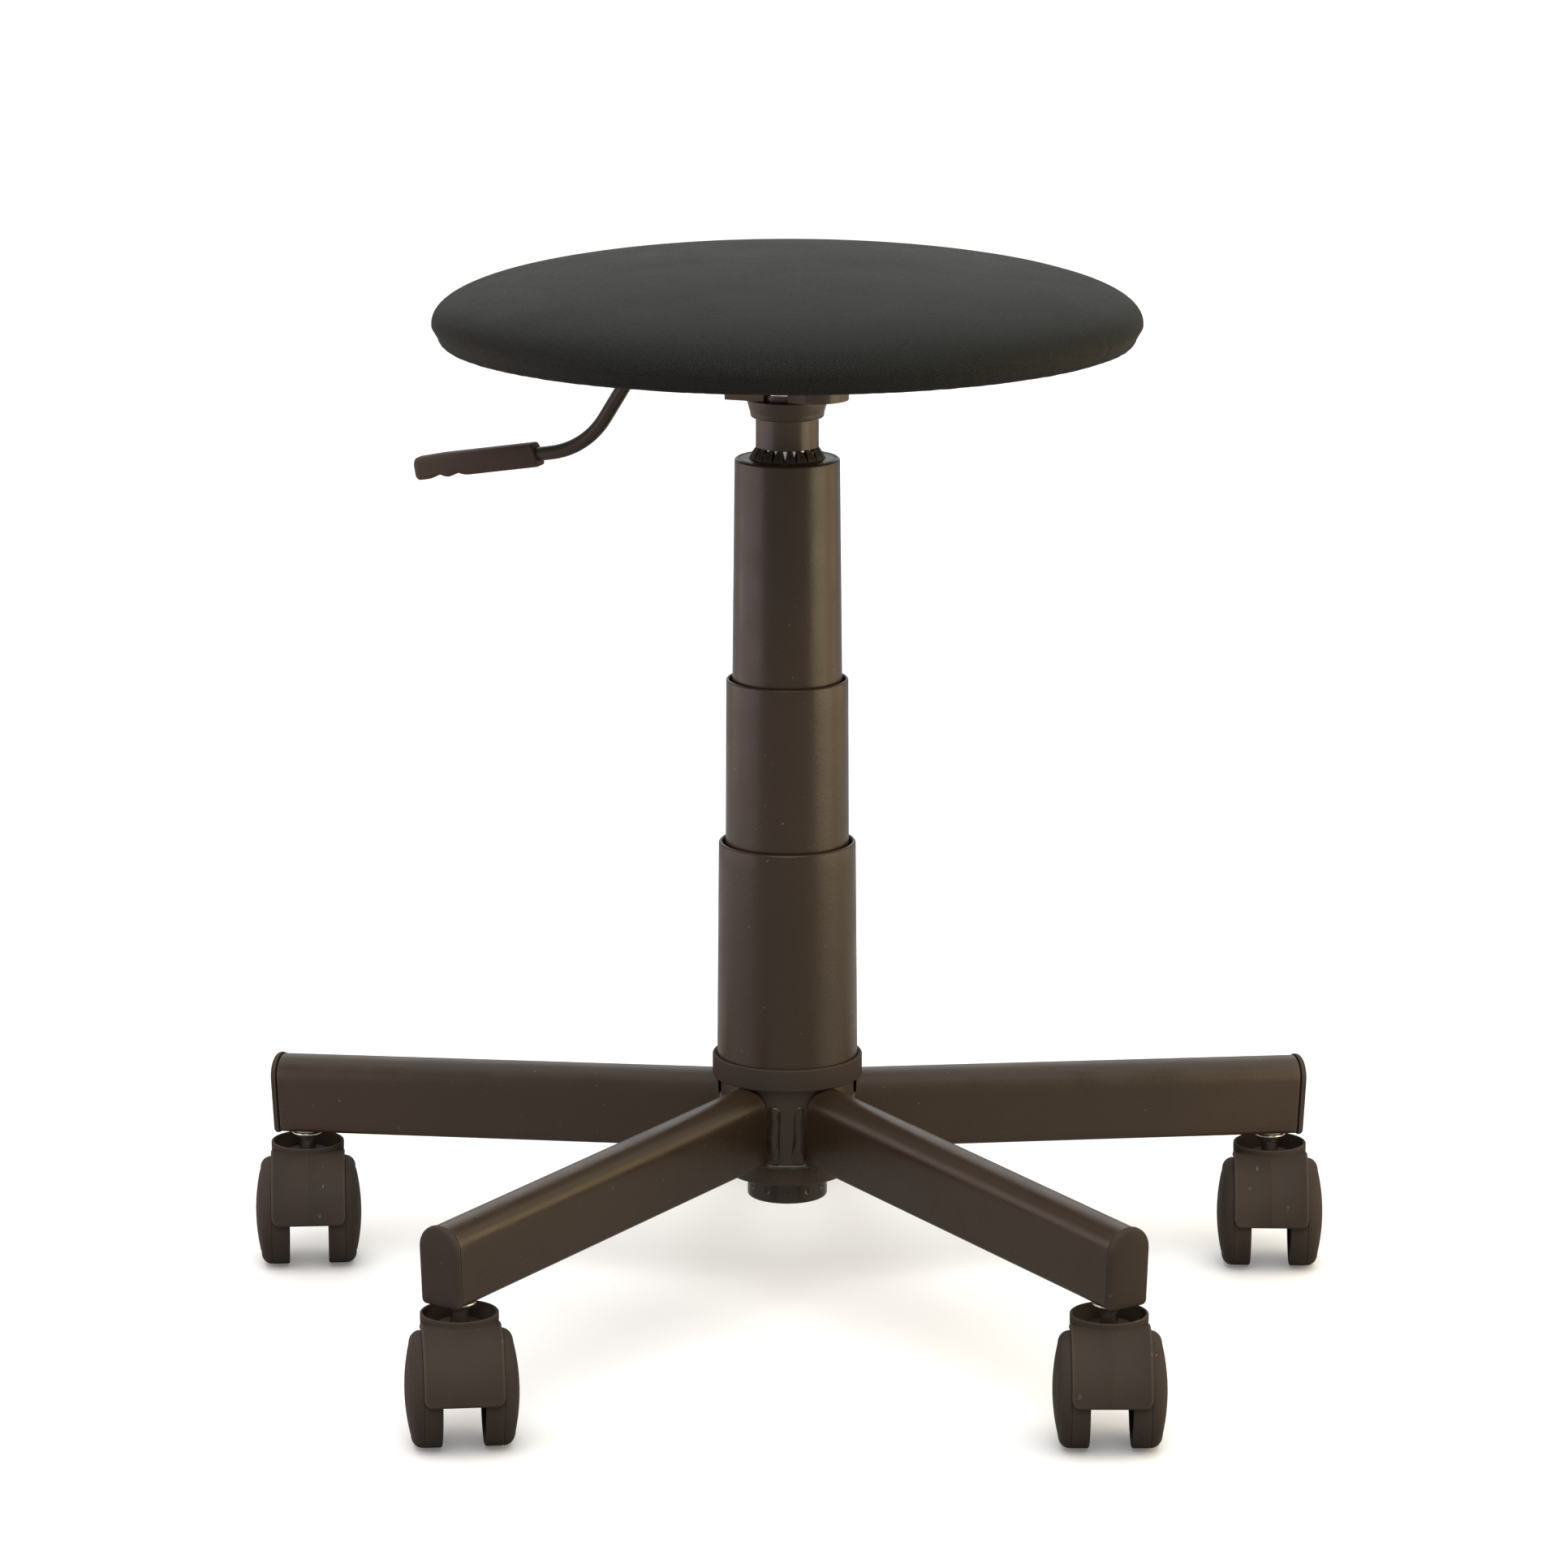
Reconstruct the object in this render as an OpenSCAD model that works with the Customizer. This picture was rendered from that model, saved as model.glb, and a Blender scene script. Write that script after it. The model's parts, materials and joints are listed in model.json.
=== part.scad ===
// Adjustable swivel stool.
// Five steel arms on twin-wheel casters carry a gas column in a three-piece telescopic
// cover. A lever under the round padded seat presses the column's release button.
// Origin: on the floor on the column axis. +Z is up, the front is towards -Y.

/* [Base] */
// Direction of the first arm, in degrees from +X
first_arm = 17.6; // [0:0.1:71]
// Radius of the arm tips
tip_r = 248.7; // [240:0.1:262]
// Width of an arm tube
arm_w = 20; // [19:0.5:22]
// Height of an arm tube
arm_h = 35; // [30:0.5:35]
// Wall of an arm tube
arm_wall = 1.5; // [1:0.1:1.5]
// Fall of an arm towards its tip, in degrees
arm_fall = 3.2; // [0:0.1:3.5]
// Height of the arms' underside, extended to the column axis
arm_z = 74; // [74:0.1:75]
// Outer radius of the hub
hub_r = 30; // [28:0.5:31]

/* [Casters] */
// Radius of the circle of caster stems
stem_circle_r = 235.1; // [232:0.1:236]
// Wheel radius
wheel_r = 25; // [24:0.5:25.5]
// Distance from the stem axis forward to the axle
trail = 13; // [11:0.5:14]
// Width over both wheels
wheels_w = 48.8; // [46:0.1:50]
// Width of the hood
hood_w = 34.2; // [30:0.1:36]
// Radius of the neck ring
neck_r = 16.85; // [15:0.05:17]
// Height of the neck ring's rim
rim_z = 54.9; // [53:0.1:56]

/* [Column] */
// Radius of the steel column tube
tube_r = 20; // [19:0.5:20]
// Radius of the sliding gas cylinder
cylinder_r = 13; // [12:0.5:13]
// Radius of the painted sleeve on the cylinder's top
sleeve_r = 14; // [13.5:0.1:14.5]
// Radius of the dished ring under the covers
collar_r = 33.75; // [33.5:0.05:36]
// Top of the lower cover
lower_top = 215.8; // [200:0.1:220]
// Top of the middle cover
middle_top = 290.1; // [285:0.1:292]
// Top of the upper cover
upper_top = 389.7; // [385:0.1:390]

/* [Seat] */
// Widest radius of the seat
seat_r = 156.6; // [150:0.1:170]
// Height of the seat's widest line
seat_waist_z = 449.9; // [448:0.1:452]
// Height of the crown above the widest line
crown_h = 29.6; // [26:0.1:40]
// Underside of the seat board
board_z = 444; // [443:0.1:445]

/* [Lever] */
// Direction of the lever, in degrees from +X
lever_dir = 160; // [150:1:170]
// Radius of the lever rod
rod_r = 3.2; // [3:0.1:3.5]
// Length of the grip
grip_l = 60; // [45:1:62]
// Height of the grip
grip_h = 10.8; // [10:0.1:12]
// Width of the grip
grip_w = 10; // [9:0.1:12]

/* [Hidden] */
$fn = 96;
arms = 5;
sliding = 0.05;
// Length of the shapes that cut, longer than anything they cut, and how far they run past a face
far = 100;
past = 1;

// Arms and hub
hub_bottom = 71.5;
hub_top = 107.4;
hub_step_r = 27;
hub_step_z = 62;
arm_root = 10;
cap_t = 4;
cap_lip = 0.6;
plug_l = 10;
plug_wall = 1.1;
socket_r = 7;
socket_h = 24;
plug_gap = 0.4;
bead_r = 2.2;
bead_end = 4;

// Caster turn of each arm's caster at rest, in degrees, first arm first
caster_turn = [-2, 0, 4, 6, 0];
stem_r = 5.5;
pivot_r = 4;
flange_r = 7.1;
flange_z = 57.8;
stem_z = 60;
stem_top = 82;
pivot_z = 28;
web_w = 17.2;
web_back = 8.4;
web_z = 47.9;
stem_boss_r = 10;
stem_boss_top = 49.9;
neck_z = 40;
neck_floor = 46;
boss_r = 7;
hood_gap = 0.8;
hood_t = 1.7;
hood_low = 24.7;
hood_corner = 4;
neck_wall = 1.25;
axle_r = 3;
axle_l = 42;
wheel_in = 9.05;
wheel_edge = 0.5;
tread_end = 17;
shoulder_r = 5;
dome_rise = 2.4;
recess_in_r = 7;
recess_out_r = 21.5;
recess_t = 3;
axle_gap = 0.3;

// Column
tube_wall = 2;
tube_top = 280;
guide_z = 215;
cup_z = 50.9;
cup_r = 17.7;
cup_wall = 2.2;
cup_floor = 59;
spigot_h = 4;
bearing_r = 13;
bearing_h = 6;
buffer_r = 12;
buffer_h = 14;
clip_r = 8;
clip_z = 56;
clip_t = 1.2;
clip_gap = 4;
groove = 0.5;
rod_low = 54;
rod_top = 250;
gas_rod_r = 5;
gas_z = 190;
gas_top = 420;
gas_wall = 1.8;
gas_bore_top = 402;
piston_l = 14;
piston_gap = 0.1;
seal_l = 20;
button_r = 4;
button_in = 7;
button_bore = 10.5;
button_out = 3.2;
button_dome_r = 6.2;
sleeve_z = 394.6;
sleeve_top = 419;
sleeve_edge = 0.4;
collar_z = 117.7;
collar_floor = 110.4;
collar_wall = 1.8;
collar_foot = 1;
collar_edge = 0.8;
collar_inner_edge = 0.3;
// Outer radius of each cover at its foot and at its top
lower_r = [31.7, 30.75];
middle_r = [27.84, 27.3];
upper_r = [24.85, 23.4];
// A cover's lip: its outer rounding and its inner slope, as shares of the wall
lip_round = 0.6;
lip_drop = 0.3;
lower_wall = 2;
middle_wall = 1.6;
upper_wall = 1.4;
upper_edge = 1.1;
upper_z = 264;
middle_z = 175;
crown_hole_r = 16.7;
crown_tip_r = 13.9;
crown_gap = 0.15;
crown_depth = 4;
fingers = 19;
slit_w = 1.2;
slit_low = 0.8;

// Seat and its mounting
// Powers of the crown's superellipse, across and up
crown_across = 1.715;
crown_up = 2.4765;
skin = 1.2;
board_t = 12;
board_r = 149;
seat_edge_r = 153.9;
edge_round = 2.4;
wrap_r = 126;
plate_t = 2.2;
plate_x = 150;
plate_y = 110;
cloth_t = 0.4;
trough_z = 416.6;
trough_w = 30;
trough_wall = 2;
trough_closed = -13;
trough_open = 48;
// Where the trough's bottom ends, and how high its sides start from there on
trough_step = 24;
trough_step_z = 421.5;
bolt_x = 58;
bolt_y = 40;
staples_n = 24;
plate_top = board_z - cloth_t;
socket_z = 408;
socket_top = 421;
socket_low_r = 16.2;
socket_top_r = 18.2;
socket_edge = 1;
trough_hole_r = 16;
plate_corner = 12;
bolt_r = 3;
bolt_head_r = 5.5;
bolt_head_h = 4;
bolt_l = 12;
nut_r = 4;
nut_z = 3;
nut_flange_r = 9;
nut_flange_t = 1.2;
cloth_r = 144;
cloth_slope = 5;
staple_r = 136;
staple_l = 10;
staple_w = 1.2;
staple_t = 0.6;

// Lever path, in the vertical plane of the lever: s is the distance from the column axis
lever_z = 428;
pivot_s = 22;
lever_pin_r = 2;
lever_pin_head_r = 3.5;
lever_pin_head_t = 1.4;
lever_boss_r = 5;
lever_boss_w = 20;
lever_in = -8;
bend_1_s = 62.9;
bend_1_r = 14;
bend_1_fall = 58;
bend_2_s = 86.6;
bend_2_r = 38;
end_fall = 9.4;
grip_start = 6.5;
grip_edge = 2;
grip_notches = [39, 48.3];
notch_r = 6;
notch_depth = 1.3;
rod_end = 6;

// Paint, plastics, bare metal and upholstery
brown_paint = [0.23, 0.20, 0.17];
brown_plastic = [0.26, 0.23, 0.20];
dark_plastic = [0.10, 0.09, 0.08];
bare_steel = [0.62, 0.62, 0.60];
charcoal = [0.20, 0.20, 0.19];

// Points on an arc, from angle a to angle b
function arc(x, y, r, a, b, n = 8) =
    [for (k = [0 : n]) let (t = a + (b - a) * k / n) [x + r * cos(t), y + r * sin(t)]];

// The seat's crown: a superellipse quarter from its top to its widest line
function crown(r, h, n = 20) =
    [for (k = [0 : n]) let (t = 90 * k / n)
        [r * pow(sin(t), 2 / crown_across), seat_waist_z + h * pow(cos(t), 2 / crown_up)]];

function reversed(list) = [for (k = [len(list) - 1 : -1 : 0]) list[k]];

module tube(r, wall, h) {
    difference() {
        cylinder(r = r, h = h);
        translate([0, 0, -past]) cylinder(r = r - wall, h = h + 2 * past);
    }
}

module ring(r, bore, z, h) translate([0, 0, z]) tube(r, r - bore, h);

module rounded_rect(x, y, r) {
    square([x - 2 * r, y], center = true);
    square([x, y - 2 * r], center = true);
    for (i = [-1, 1], j = [-1, 1])
        translate([i * (x / 2 - r), j * (y / 2 - r)]) circle(r);
}

// ---- Base ----

module at_arm(i) rotate(first_arm + 360 / arms * (i - 1)) children();

// The arm's own frame: x runs along its underside
module on_arm(i) at_arm(i) translate([0, 0, arm_z]) rotate([0, arm_fall, 0]) children();

module arm_outline(grow) {
    w = arm_w + 2 * grow;
    translate([-w / 2, -grow]) square([w, arm_h - arm_w / 2 + grow]);
    translate([0, arm_h - arm_w / 2]) circle(w / 2);
}

module arm_bar(x, l, grow)
    translate([x, 0, 0]) rotate([90, 0, 90]) linear_extrude(l) arm_outline(grow);

module at_stem(i) at_arm(i) translate([stem_circle_r, 0, 0]) children();

module arm(i) color(brown_paint) difference() {
    on_arm(i) difference() {
        arm_bar(arm_root, tip_r - cap_t - arm_root, 0);
        arm_bar(0, tip_r, -arm_wall);
    }
    translate([0, 0, hub_step_z]) cylinder(r = hub_r, h = far);
    at_stem(i) translate([0, 0, stem_z - past]) cylinder(r = socket_r, h = socket_h);
}

module end_cap(i) difference() {
    on_arm(i) {
        arm_bar(tip_r - cap_t, cap_t, cap_lip);
        difference() {
            arm_bar(tip_r - cap_t - plug_l, plug_l, -arm_wall);
            arm_bar(tip_r - cap_t - plug_l - past, plug_l + past, -arm_wall - plug_wall);
        }
    }
    at_stem(i) translate([0, 0, stem_z - past])
        cylinder(r = socket_r + plug_gap, h = socket_h + 2 * past);
}

module end_caps() color(brown_plastic) for (i = [1 : arms]) end_cap(i);

module hub() color(brown_paint) rotate_extrude() {
    translate([tube_r, hub_bottom]) square([hub_r - tube_r, hub_top - hub_bottom]);
    translate([tube_r, hub_step_z]) square([hub_step_r - tube_r, hub_bottom - hub_step_z]);
}

// An upright fillet weld in each corner between an arm and the hub
module weld_beads() color(brown_paint)
    for (i = [1 : arms], side = [-1, 1]) difference() {
        at_arm(i) translate([sqrt(pow(hub_r, 2) - pow(arm_w / 2, 2)), side * arm_w / 2, arm_z])
            cylinder(r = bead_r, h = arm_h - arm_w / 2 - bead_end);
        translate([0, 0, hub_step_z]) cylinder(r = hub_r, h = far);
        on_arm(i) arm_bar(0, 2 * hub_r, 0);
    }

module caster_sockets() color(bare_steel)
    for (i = [1 : arms]) at_stem(i) ring(socket_r, stem_r, stem_z, socket_h);

module caster_stems() color(bare_steel)
    for (i = [1 : arms]) at_stem(i) {
        translate([0, 0, stem_z]) cylinder(r = stem_r, h = stem_top - stem_z);
        translate([0, 0, flange_z]) cylinder(r = flange_r, h = stem_z - flange_z);
        translate([0, 0, pivot_z]) cylinder(r = pivot_r, h = flange_z - pivot_z);
    }

// ---- Casters ----

// A caster's own frame: stem axis on z, axle towards -Y, floor at z = 0
module at_caster(i) at_stem(i)
    rotate(caster_turn[i - 1] - first_arm - 360 / arms * (i - 1)) children();

module across(w) rotate([90, 0, 90]) translate([0, 0, -w / 2]) linear_extrude(w) children();

module at_axle() translate([-trail, wheel_r]) children();

// Side view of the hood's curved skin
module hood_skin() intersection() {
    at_axle() difference() {
        circle(wheel_r + hood_gap + hood_t);
        circle(wheel_r + hood_gap);
    }
    translate([-far, hood_low]) square(far);
}

// Side view of the web between the wheels
module web() {
    intersection() {
        at_axle() circle(wheel_r + hood_gap + hood_t / 2);
        translate([-far, hood_low]) square(far);
    }
    at_axle() circle(boss_r);
    translate([-trail, hood_low]) square([trail + web_back, web_z - hood_low]);
}

// Front view of the hood, with its lower corners rounded
module hood_front() {
    translate([-hood_w / 2, hood_low + hood_corner]) square([hood_w, far]);
    translate([0, hood_low + hood_w / 2]) rounded_rect(hood_w, hood_w, hood_corner);
}

module neck() difference() {
    translate([0, 0, neck_z]) cylinder(r = neck_r, h = rim_z - neck_z);
    across(far) at_axle() circle(wheel_r + hood_gap);
    difference() {
        translate([0, 0, neck_floor]) cylinder(r = neck_r - neck_wall, h = far);
        across(far) at_axle() circle(wheel_r + hood_gap + hood_t);
        translate([0, 0, neck_z]) cylinder(r = stem_boss_r, h = stem_boss_top - neck_z);
    }
}

module caster_hood(i) color(brown_plastic) at_caster(i) difference() {
    union() {
        intersection() {
            across(hood_w) hood_skin();
            rotate([90, 0, 0]) linear_extrude(far, center = true) hood_front();
        }
        neck();
        across(web_w) web();
    }
    translate([0, 0, pivot_z - past]) cylinder(r = pivot_r + sliding, h = far);
    across(far) at_axle() circle(axle_r);
}

module caster_axle(i) color(bare_steel) at_caster(i) across(axle_l) at_axle() circle(axle_r);

// Half section of a wheel: x is its radius, y the distance from the caster's middle
module wheel_section() {
    dome_y = wheels_w / 2;
    dome_r = wheel_r - shoulder_r;
    big_r = (pow(dome_r, 2) + pow(dome_rise, 2)) / 2 / dome_rise;
    edge = asin(dome_r / big_r);
    difference() {
        polygon(concat(
            [[0, wheel_in], [wheel_r - wheel_edge, wheel_in], [wheel_r, wheel_in + wheel_edge]],
            arc(dome_r, tread_end, shoulder_r, 0, 90),
            arc(0, dome_y - big_r, big_r, 90 - edge, 90)));
        translate([recess_in_r, wheel_in - past])
            square([recess_out_r - recess_in_r, recess_t + past]);
        translate([-past, wheel_in - past])
            square([axle_r + sliding + past, axle_l / 2 - wheel_in + past + axle_gap]);
    }
}

module wheel(i, side) color(brown_plastic) at_caster(i)
    translate([0, -trail, wheel_r]) rotate([0, side * 90, 0]) rotate_extrude() wheel_section();

module wheel_left(i) wheel(i, -1);

module wheel_right(i) wheel(i, 1);

// ---- Column ----

module column_tube() color(bare_steel) ring(tube_r, tube_r - tube_wall, hub_step_z, tube_top - hub_step_z);

module bottom_cup() color(brown_paint) {
    ring(cup_r, cup_r - cup_wall, cup_z, cup_floor - cup_z);
    ring(cup_r, gas_rod_r, cup_floor, hub_step_z - cup_floor);
    ring(tube_r - tube_wall, gas_rod_r, hub_step_z, spigot_h);
}

module thrust_bearing() color(bare_steel)
    ring(bearing_r, gas_rod_r, hub_step_z + spigot_h, bearing_h);

module rubber_buffer() color(dark_plastic)
    ring(buffer_r, gas_rod_r, hub_step_z + spigot_h + bearing_h, buffer_h);

module retaining_clip() color(bare_steel) difference() {
    ring(clip_r, gas_rod_r - groove, clip_z, clip_t);
    translate([0, -clip_gap / 2, clip_z - past]) cube([2 * clip_r, clip_gap, clip_t + 2 * past]);
}

module piston_rod() color(bare_steel) difference() {
    translate([0, 0, rod_low]) cylinder(r = gas_rod_r, h = rod_top - rod_low);
    ring(gas_rod_r + past, gas_rod_r - groove, clip_z, clip_t);
}

module piston() color(bare_steel) translate([0, 0, rod_top])
    cylinder(r = cylinder_r - gas_wall - piston_gap, h = piston_l);

module guide_sleeve() color(dark_plastic)
    ring(tube_r - tube_wall, cylinder_r + sliding, guide_z, tube_top - guide_z);

// Dished ring between the hub and the covers
module collar_ring() color(brown_plastic) rotate_extrude() polygon(concat(
    [[tube_r, hub_top], [collar_r - collar_foot, hub_top], [collar_r, hub_top + collar_foot]],
    arc(collar_r - collar_edge, collar_z - collar_edge, collar_edge, 0, 90, 4),
    arc(collar_r - collar_wall + collar_inner_edge, collar_z - collar_inner_edge,
        collar_inner_edge, 90, 180, 2),
    [[collar_r - collar_wall, collar_floor], [tube_r, collar_floor]]));

// A tapered cover tube with a rounded lip; r holds its radius at the foot and at the top
module cover(low, top, r, wall) color(brown_paint) rotate_extrude() polygon(concat(
    [[r[0] - wall, low], [r[0], low]],
    arc(r[1] - wall * lip_round, top - wall * lip_round, wall * lip_round, 0, 90, 5),
    [[r[1] - wall, top - wall * lip_drop]]));

module lower_cover() cover(collar_floor, lower_top, lower_r, lower_wall);

module middle_cover() cover(middle_z, middle_top, middle_r, middle_wall);

// The upper cover is closed by a flat shoulder
module upper_cover() color(brown_paint) rotate_extrude() polygon(concat(
    [[upper_r[0] - upper_wall, upper_z], [upper_r[0], upper_z]],
    arc(upper_r[1] - upper_edge, upper_top - upper_edge, upper_edge, 0, 90, 5),
    [[crown_hole_r, upper_top], [crown_hole_r, upper_top - upper_wall],
     [upper_r[1] - upper_wall, upper_top - upper_wall]]));

// Plastic bush whose springy fingers centre the cover on the cylinder
module cover_crown() color(dark_plastic) difference() {
    rotate_extrude() polygon([
        [cylinder_r + crown_gap, upper_top - crown_depth],
        [crown_hole_r, upper_top - crown_depth], [crown_hole_r, upper_top],
        [crown_tip_r, sleeve_z - crown_gap], [cylinder_r + crown_gap, sleeve_z - crown_gap]]);
    for (k = [0 : fingers - 1]) rotate(360 / fingers * k)
        translate([0, -slit_w / 2, upper_top + slit_low]) cube([far, slit_w, far]);
}

// ---- Gas cylinder and socket ----

module gas_cylinder() color(bare_steel) difference() {
    translate([0, 0, gas_z]) cylinder(r = cylinder_r, h = gas_top - gas_z);
    translate([0, 0, gas_z - past]) cylinder(r = cylinder_r - gas_wall, h = gas_bore_top - gas_z + past);
    translate([0, 0, gas_top - button_bore]) cylinder(r = button_r + sliding, h = far);
}

module cylinder_seal() color(dark_plastic)
    ring(cylinder_r - gas_wall, gas_rod_r + sliding, gas_z, seal_l);

module cylinder_sleeve() color(brown_paint) rotate_extrude() polygon([
    [cylinder_r, sleeve_z], [sleeve_r - sleeve_edge, sleeve_z], [sleeve_r, sleeve_z + sleeve_edge],
    [sleeve_r, sleeve_top], [cylinder_r, sleeve_top]]);

module release_button() color(bare_steel) rotate_extrude() polygon(concat(
    [[0, gas_top - button_in], [button_r, gas_top - button_in], [button_r, gas_top + button_out]],
    arc(0, gas_top + button_out - sqrt(pow(button_dome_r, 2) - pow(button_r, 2)),
        button_dome_r, acos(button_r / button_dome_r), 90, 4)));

module socket_cup() color(brown_paint) rotate_extrude() polygon(concat(
    [[sleeve_r, socket_z]],
    arc(socket_low_r - socket_edge, socket_z + socket_edge, socket_edge, 270, 360, 4),
    [[socket_top_r, trough_z], [trough_hole_r, trough_z], [trough_hole_r, socket_top],
     [sleeve_r, socket_top]]));

// ---- Seat mounting plate and lever ----

module along_lever() rotate(lever_dir) children();

// Plan of the trough, closed by a round end on one side
module trough_outline(w, end) {
    translate([trough_closed, 0]) circle(w / 2);
    translate([trough_closed, -w / 2]) square([end - trough_closed, w]);
}

module at_bolts() for (i = [-1, 1], j = [-1, 1])
    along_lever() translate([i * bolt_x, j * bolt_y, 0]) children();

module seat_plate() color(brown_paint) difference() {
    along_lever() difference() {
        union() {
            translate([0, 0, plate_top - plate_t]) linear_extrude(plate_t)
                rounded_rect(plate_x, plate_y, plate_corner);
            translate([0, 0, trough_z]) linear_extrude(plate_top - trough_z)
                trough_outline(trough_w, trough_open);
        }
        translate([0, 0, trough_z + trough_wall]) linear_extrude(far)
            trough_outline(trough_w - 2 * trough_wall, trough_open + past);
        translate([trough_step, -trough_w, trough_z - past])
            cube([far, 2 * trough_w, trough_step_z - trough_z + past]);
        translate([pivot_s, 0, lever_z]) rotate([90, 0, 0])
            cylinder(r = lever_pin_r, h = far, center = true);
    }
    translate([0, 0, trough_z - past]) cylinder(r = trough_hole_r, h = socket_top - trough_z + past);
    at_bolts() translate([0, 0, plate_top - plate_t - past])
        cylinder(r = bolt_r, h = plate_t + 2 * past);
}

module lever_pin() color(bare_steel) along_lever() translate([pivot_s, 0, lever_z]) rotate([90, 0, 0]) {
    cylinder(r = lever_pin_r, h = trough_w, center = true);
    for (side = [0, 180]) rotate([side, 0, 0])
        translate([0, 0, trough_w / 2]) cylinder(r = lever_pin_head_r, h = lever_pin_head_t);
}

module seat_bolts() color(bare_steel) at_bolts() {
    translate([0, 0, plate_top - plate_t - bolt_head_h])
        cylinder(r = bolt_head_r, h = bolt_head_h, $fn = 6);
    translate([0, 0, plate_top - plate_t]) cylinder(r = bolt_r, h = bolt_l);
}

module t_nuts() color(bare_steel) at_bolts() difference() {
    union() {
        translate([0, 0, board_z + nut_z]) cylinder(r = nut_r, h = board_t - nut_z);
        translate([0, 0, board_z + board_t - nut_flange_t])
            cylinder(r = nut_flange_r, h = nut_flange_t);
    }
    translate([0, 0, board_z]) cylinder(r = bolt_r, h = far);
}

// In the lever's plane the bends are arcs; a bend's centre lies beside the rod
bend_1_end = [bend_1_s + bend_1_r * sin(bend_1_fall), lever_z - bend_1_r * (1 - cos(bend_1_fall))];
bend_2_start = [bend_2_s, bend_1_end[1] - (bend_2_s - bend_1_end[0]) * tan(bend_1_fall)];
bend_2_end = bend_2_start + bend_2_r * [sin(bend_1_fall) - sin(end_fall), cos(bend_1_fall) - cos(end_fall)];

// The rod's centre line: x along the lever, y up
rod_line = concat(
    [[lever_in, lever_z]],
    arc(bend_1_s, lever_z - bend_1_r, bend_1_r, 90, 90 - bend_1_fall, 6),
    arc(bend_2_s + bend_2_r * sin(bend_1_fall), bend_2_start[1] + bend_2_r * cos(bend_1_fall),
        bend_2_r, 270 - bend_1_fall, 270 - end_fall, 8),
    [bend_2_end + (grip_start + grip_l - rod_end) * [cos(end_fall), -sin(end_fall)]]);
rod_sides = 16;

// A round bar swept along a line of points in the lever's plane
module swept_bar(line, r, sides) {
    last = len(line) - 1;
    fall = [for (k = [0 : last]) let (d = line[min(k + 1, last)] - line[max(k - 1, 0)]) atan2(d[1], d[0])];
    points = [for (k = [0 : last], j = [0 : sides - 1]) let (t = 360 / sides * j)
        [line[k][0] - r * cos(t) * sin(fall[k]), r * sin(t), line[k][1] + r * cos(t) * cos(fall[k])]];
    skin = [for (k = [0 : last - 1], j = [0 : sides - 1]) let (a = k * sides, n = (j + 1) % sides)
        [a + j, a + n, a + n + sides, a + j + sides]];
    ends = [[for (j = [sides - 1 : -1 : 0]) j], [for (j = [0 : sides - 1]) last * sides + j]];
    polyhedron(points, concat(skin, ends), convexity = 6);
}

module lever_rod() color(brown_paint) along_lever() difference() {
    union() {
        swept_bar(rod_line, rod_r, rod_sides);
        translate([pivot_s, 0, lever_z]) rotate([90, 0, 0])
            cylinder(r = lever_boss_r, h = lever_boss_w, center = true);
    }
    translate([pivot_s, 0, lever_z]) rotate([90, 0, 0])
        cylinder(r = lever_pin_r + sliding, h = far, center = true);
}

// The grip is a rounded bar with finger notches under its outer end
module lever_grip() color(brown_plastic) along_lever()
    translate([bend_2_end[0], 0, bend_2_end[1]]) rotate([0, end_fall, 0]) difference() {
        hull() for (x = [grip_edge, grip_l - grip_edge], y = [-1, 1], z = [-1, 1])
            translate([grip_start + x, y * (grip_w / 2 - grip_edge), z * (grip_h / 2 - grip_edge)])
                sphere(r = grip_edge, $fn = 24);
        rotate([0, 90, 0]) cylinder(r = rod_r, h = grip_start + grip_l - rod_end);
        for (x = grip_notches)
            translate([grip_start + x, 0, -grip_h / 2 + notch_depth - notch_r]) rotate([90, 0, 0])
                cylinder(r = notch_r, h = 2 * grip_w, center = true);
    }

// ---- Seat ----

module seat_board() color("burlywood") difference() {
    translate([0, 0, board_z]) cylinder(r = board_r, h = board_t);
    at_bolts() {
        translate([0, 0, board_z - past]) cylinder(r = bolt_r, h = far);
        translate([0, 0, board_z + nut_z]) cylinder(r = nut_r, h = far);
        translate([0, 0, board_z + board_t - nut_flange_t]) cylinder(r = nut_flange_r, h = far);
    }
}

module seat_foam() color("khaki") rotate_extrude() polygon(concat(
    crown(seat_r - skin, crown_h - skin),
    [[seat_edge_r - skin, board_z], [board_r, board_z],
     [board_r, board_z + board_t], [0, board_z + board_t]]));

// Leathercloth cover, drawn over the foam and turned under the board
module seat_cover() color(charcoal) rotate_extrude() polygon(concat(
    crown(seat_r, crown_h),
    arc(seat_edge_r - edge_round, board_z - skin + edge_round, edge_round, 0, -90, 4),
    [[wrap_r, board_z - skin], [wrap_r, board_z], [seat_edge_r - skin, board_z]],
    reversed(crown(seat_r - skin, crown_h - skin))));

// Thin black cloth that steps over the cover's turned edge
module dust_cloth() color(dark_plastic) difference() {
    rotate_extrude() polygon([
        [0, board_z - cloth_t], [wrap_r - cloth_slope - skin, board_z - cloth_t],
        [wrap_r - skin, board_z - skin - cloth_t],
        [cloth_r, board_z - skin - cloth_t], [cloth_r, board_z - skin], [wrap_r, board_z - skin],
        [wrap_r - cloth_slope, board_z], [0, board_z]]);
    at_bolts() translate([0, 0, board_z - cloth_t - past]) cylinder(r = bolt_r, h = cloth_t + 2 * past);
}

module staples() color(bare_steel) for (k = [0 : staples_n - 1]) rotate(360 / staples_n * k)
    translate([staple_r, 0, board_z - skin - cloth_t - staple_t / 2])
        cube([staple_w, staple_l, staple_t], center = true);

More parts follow.
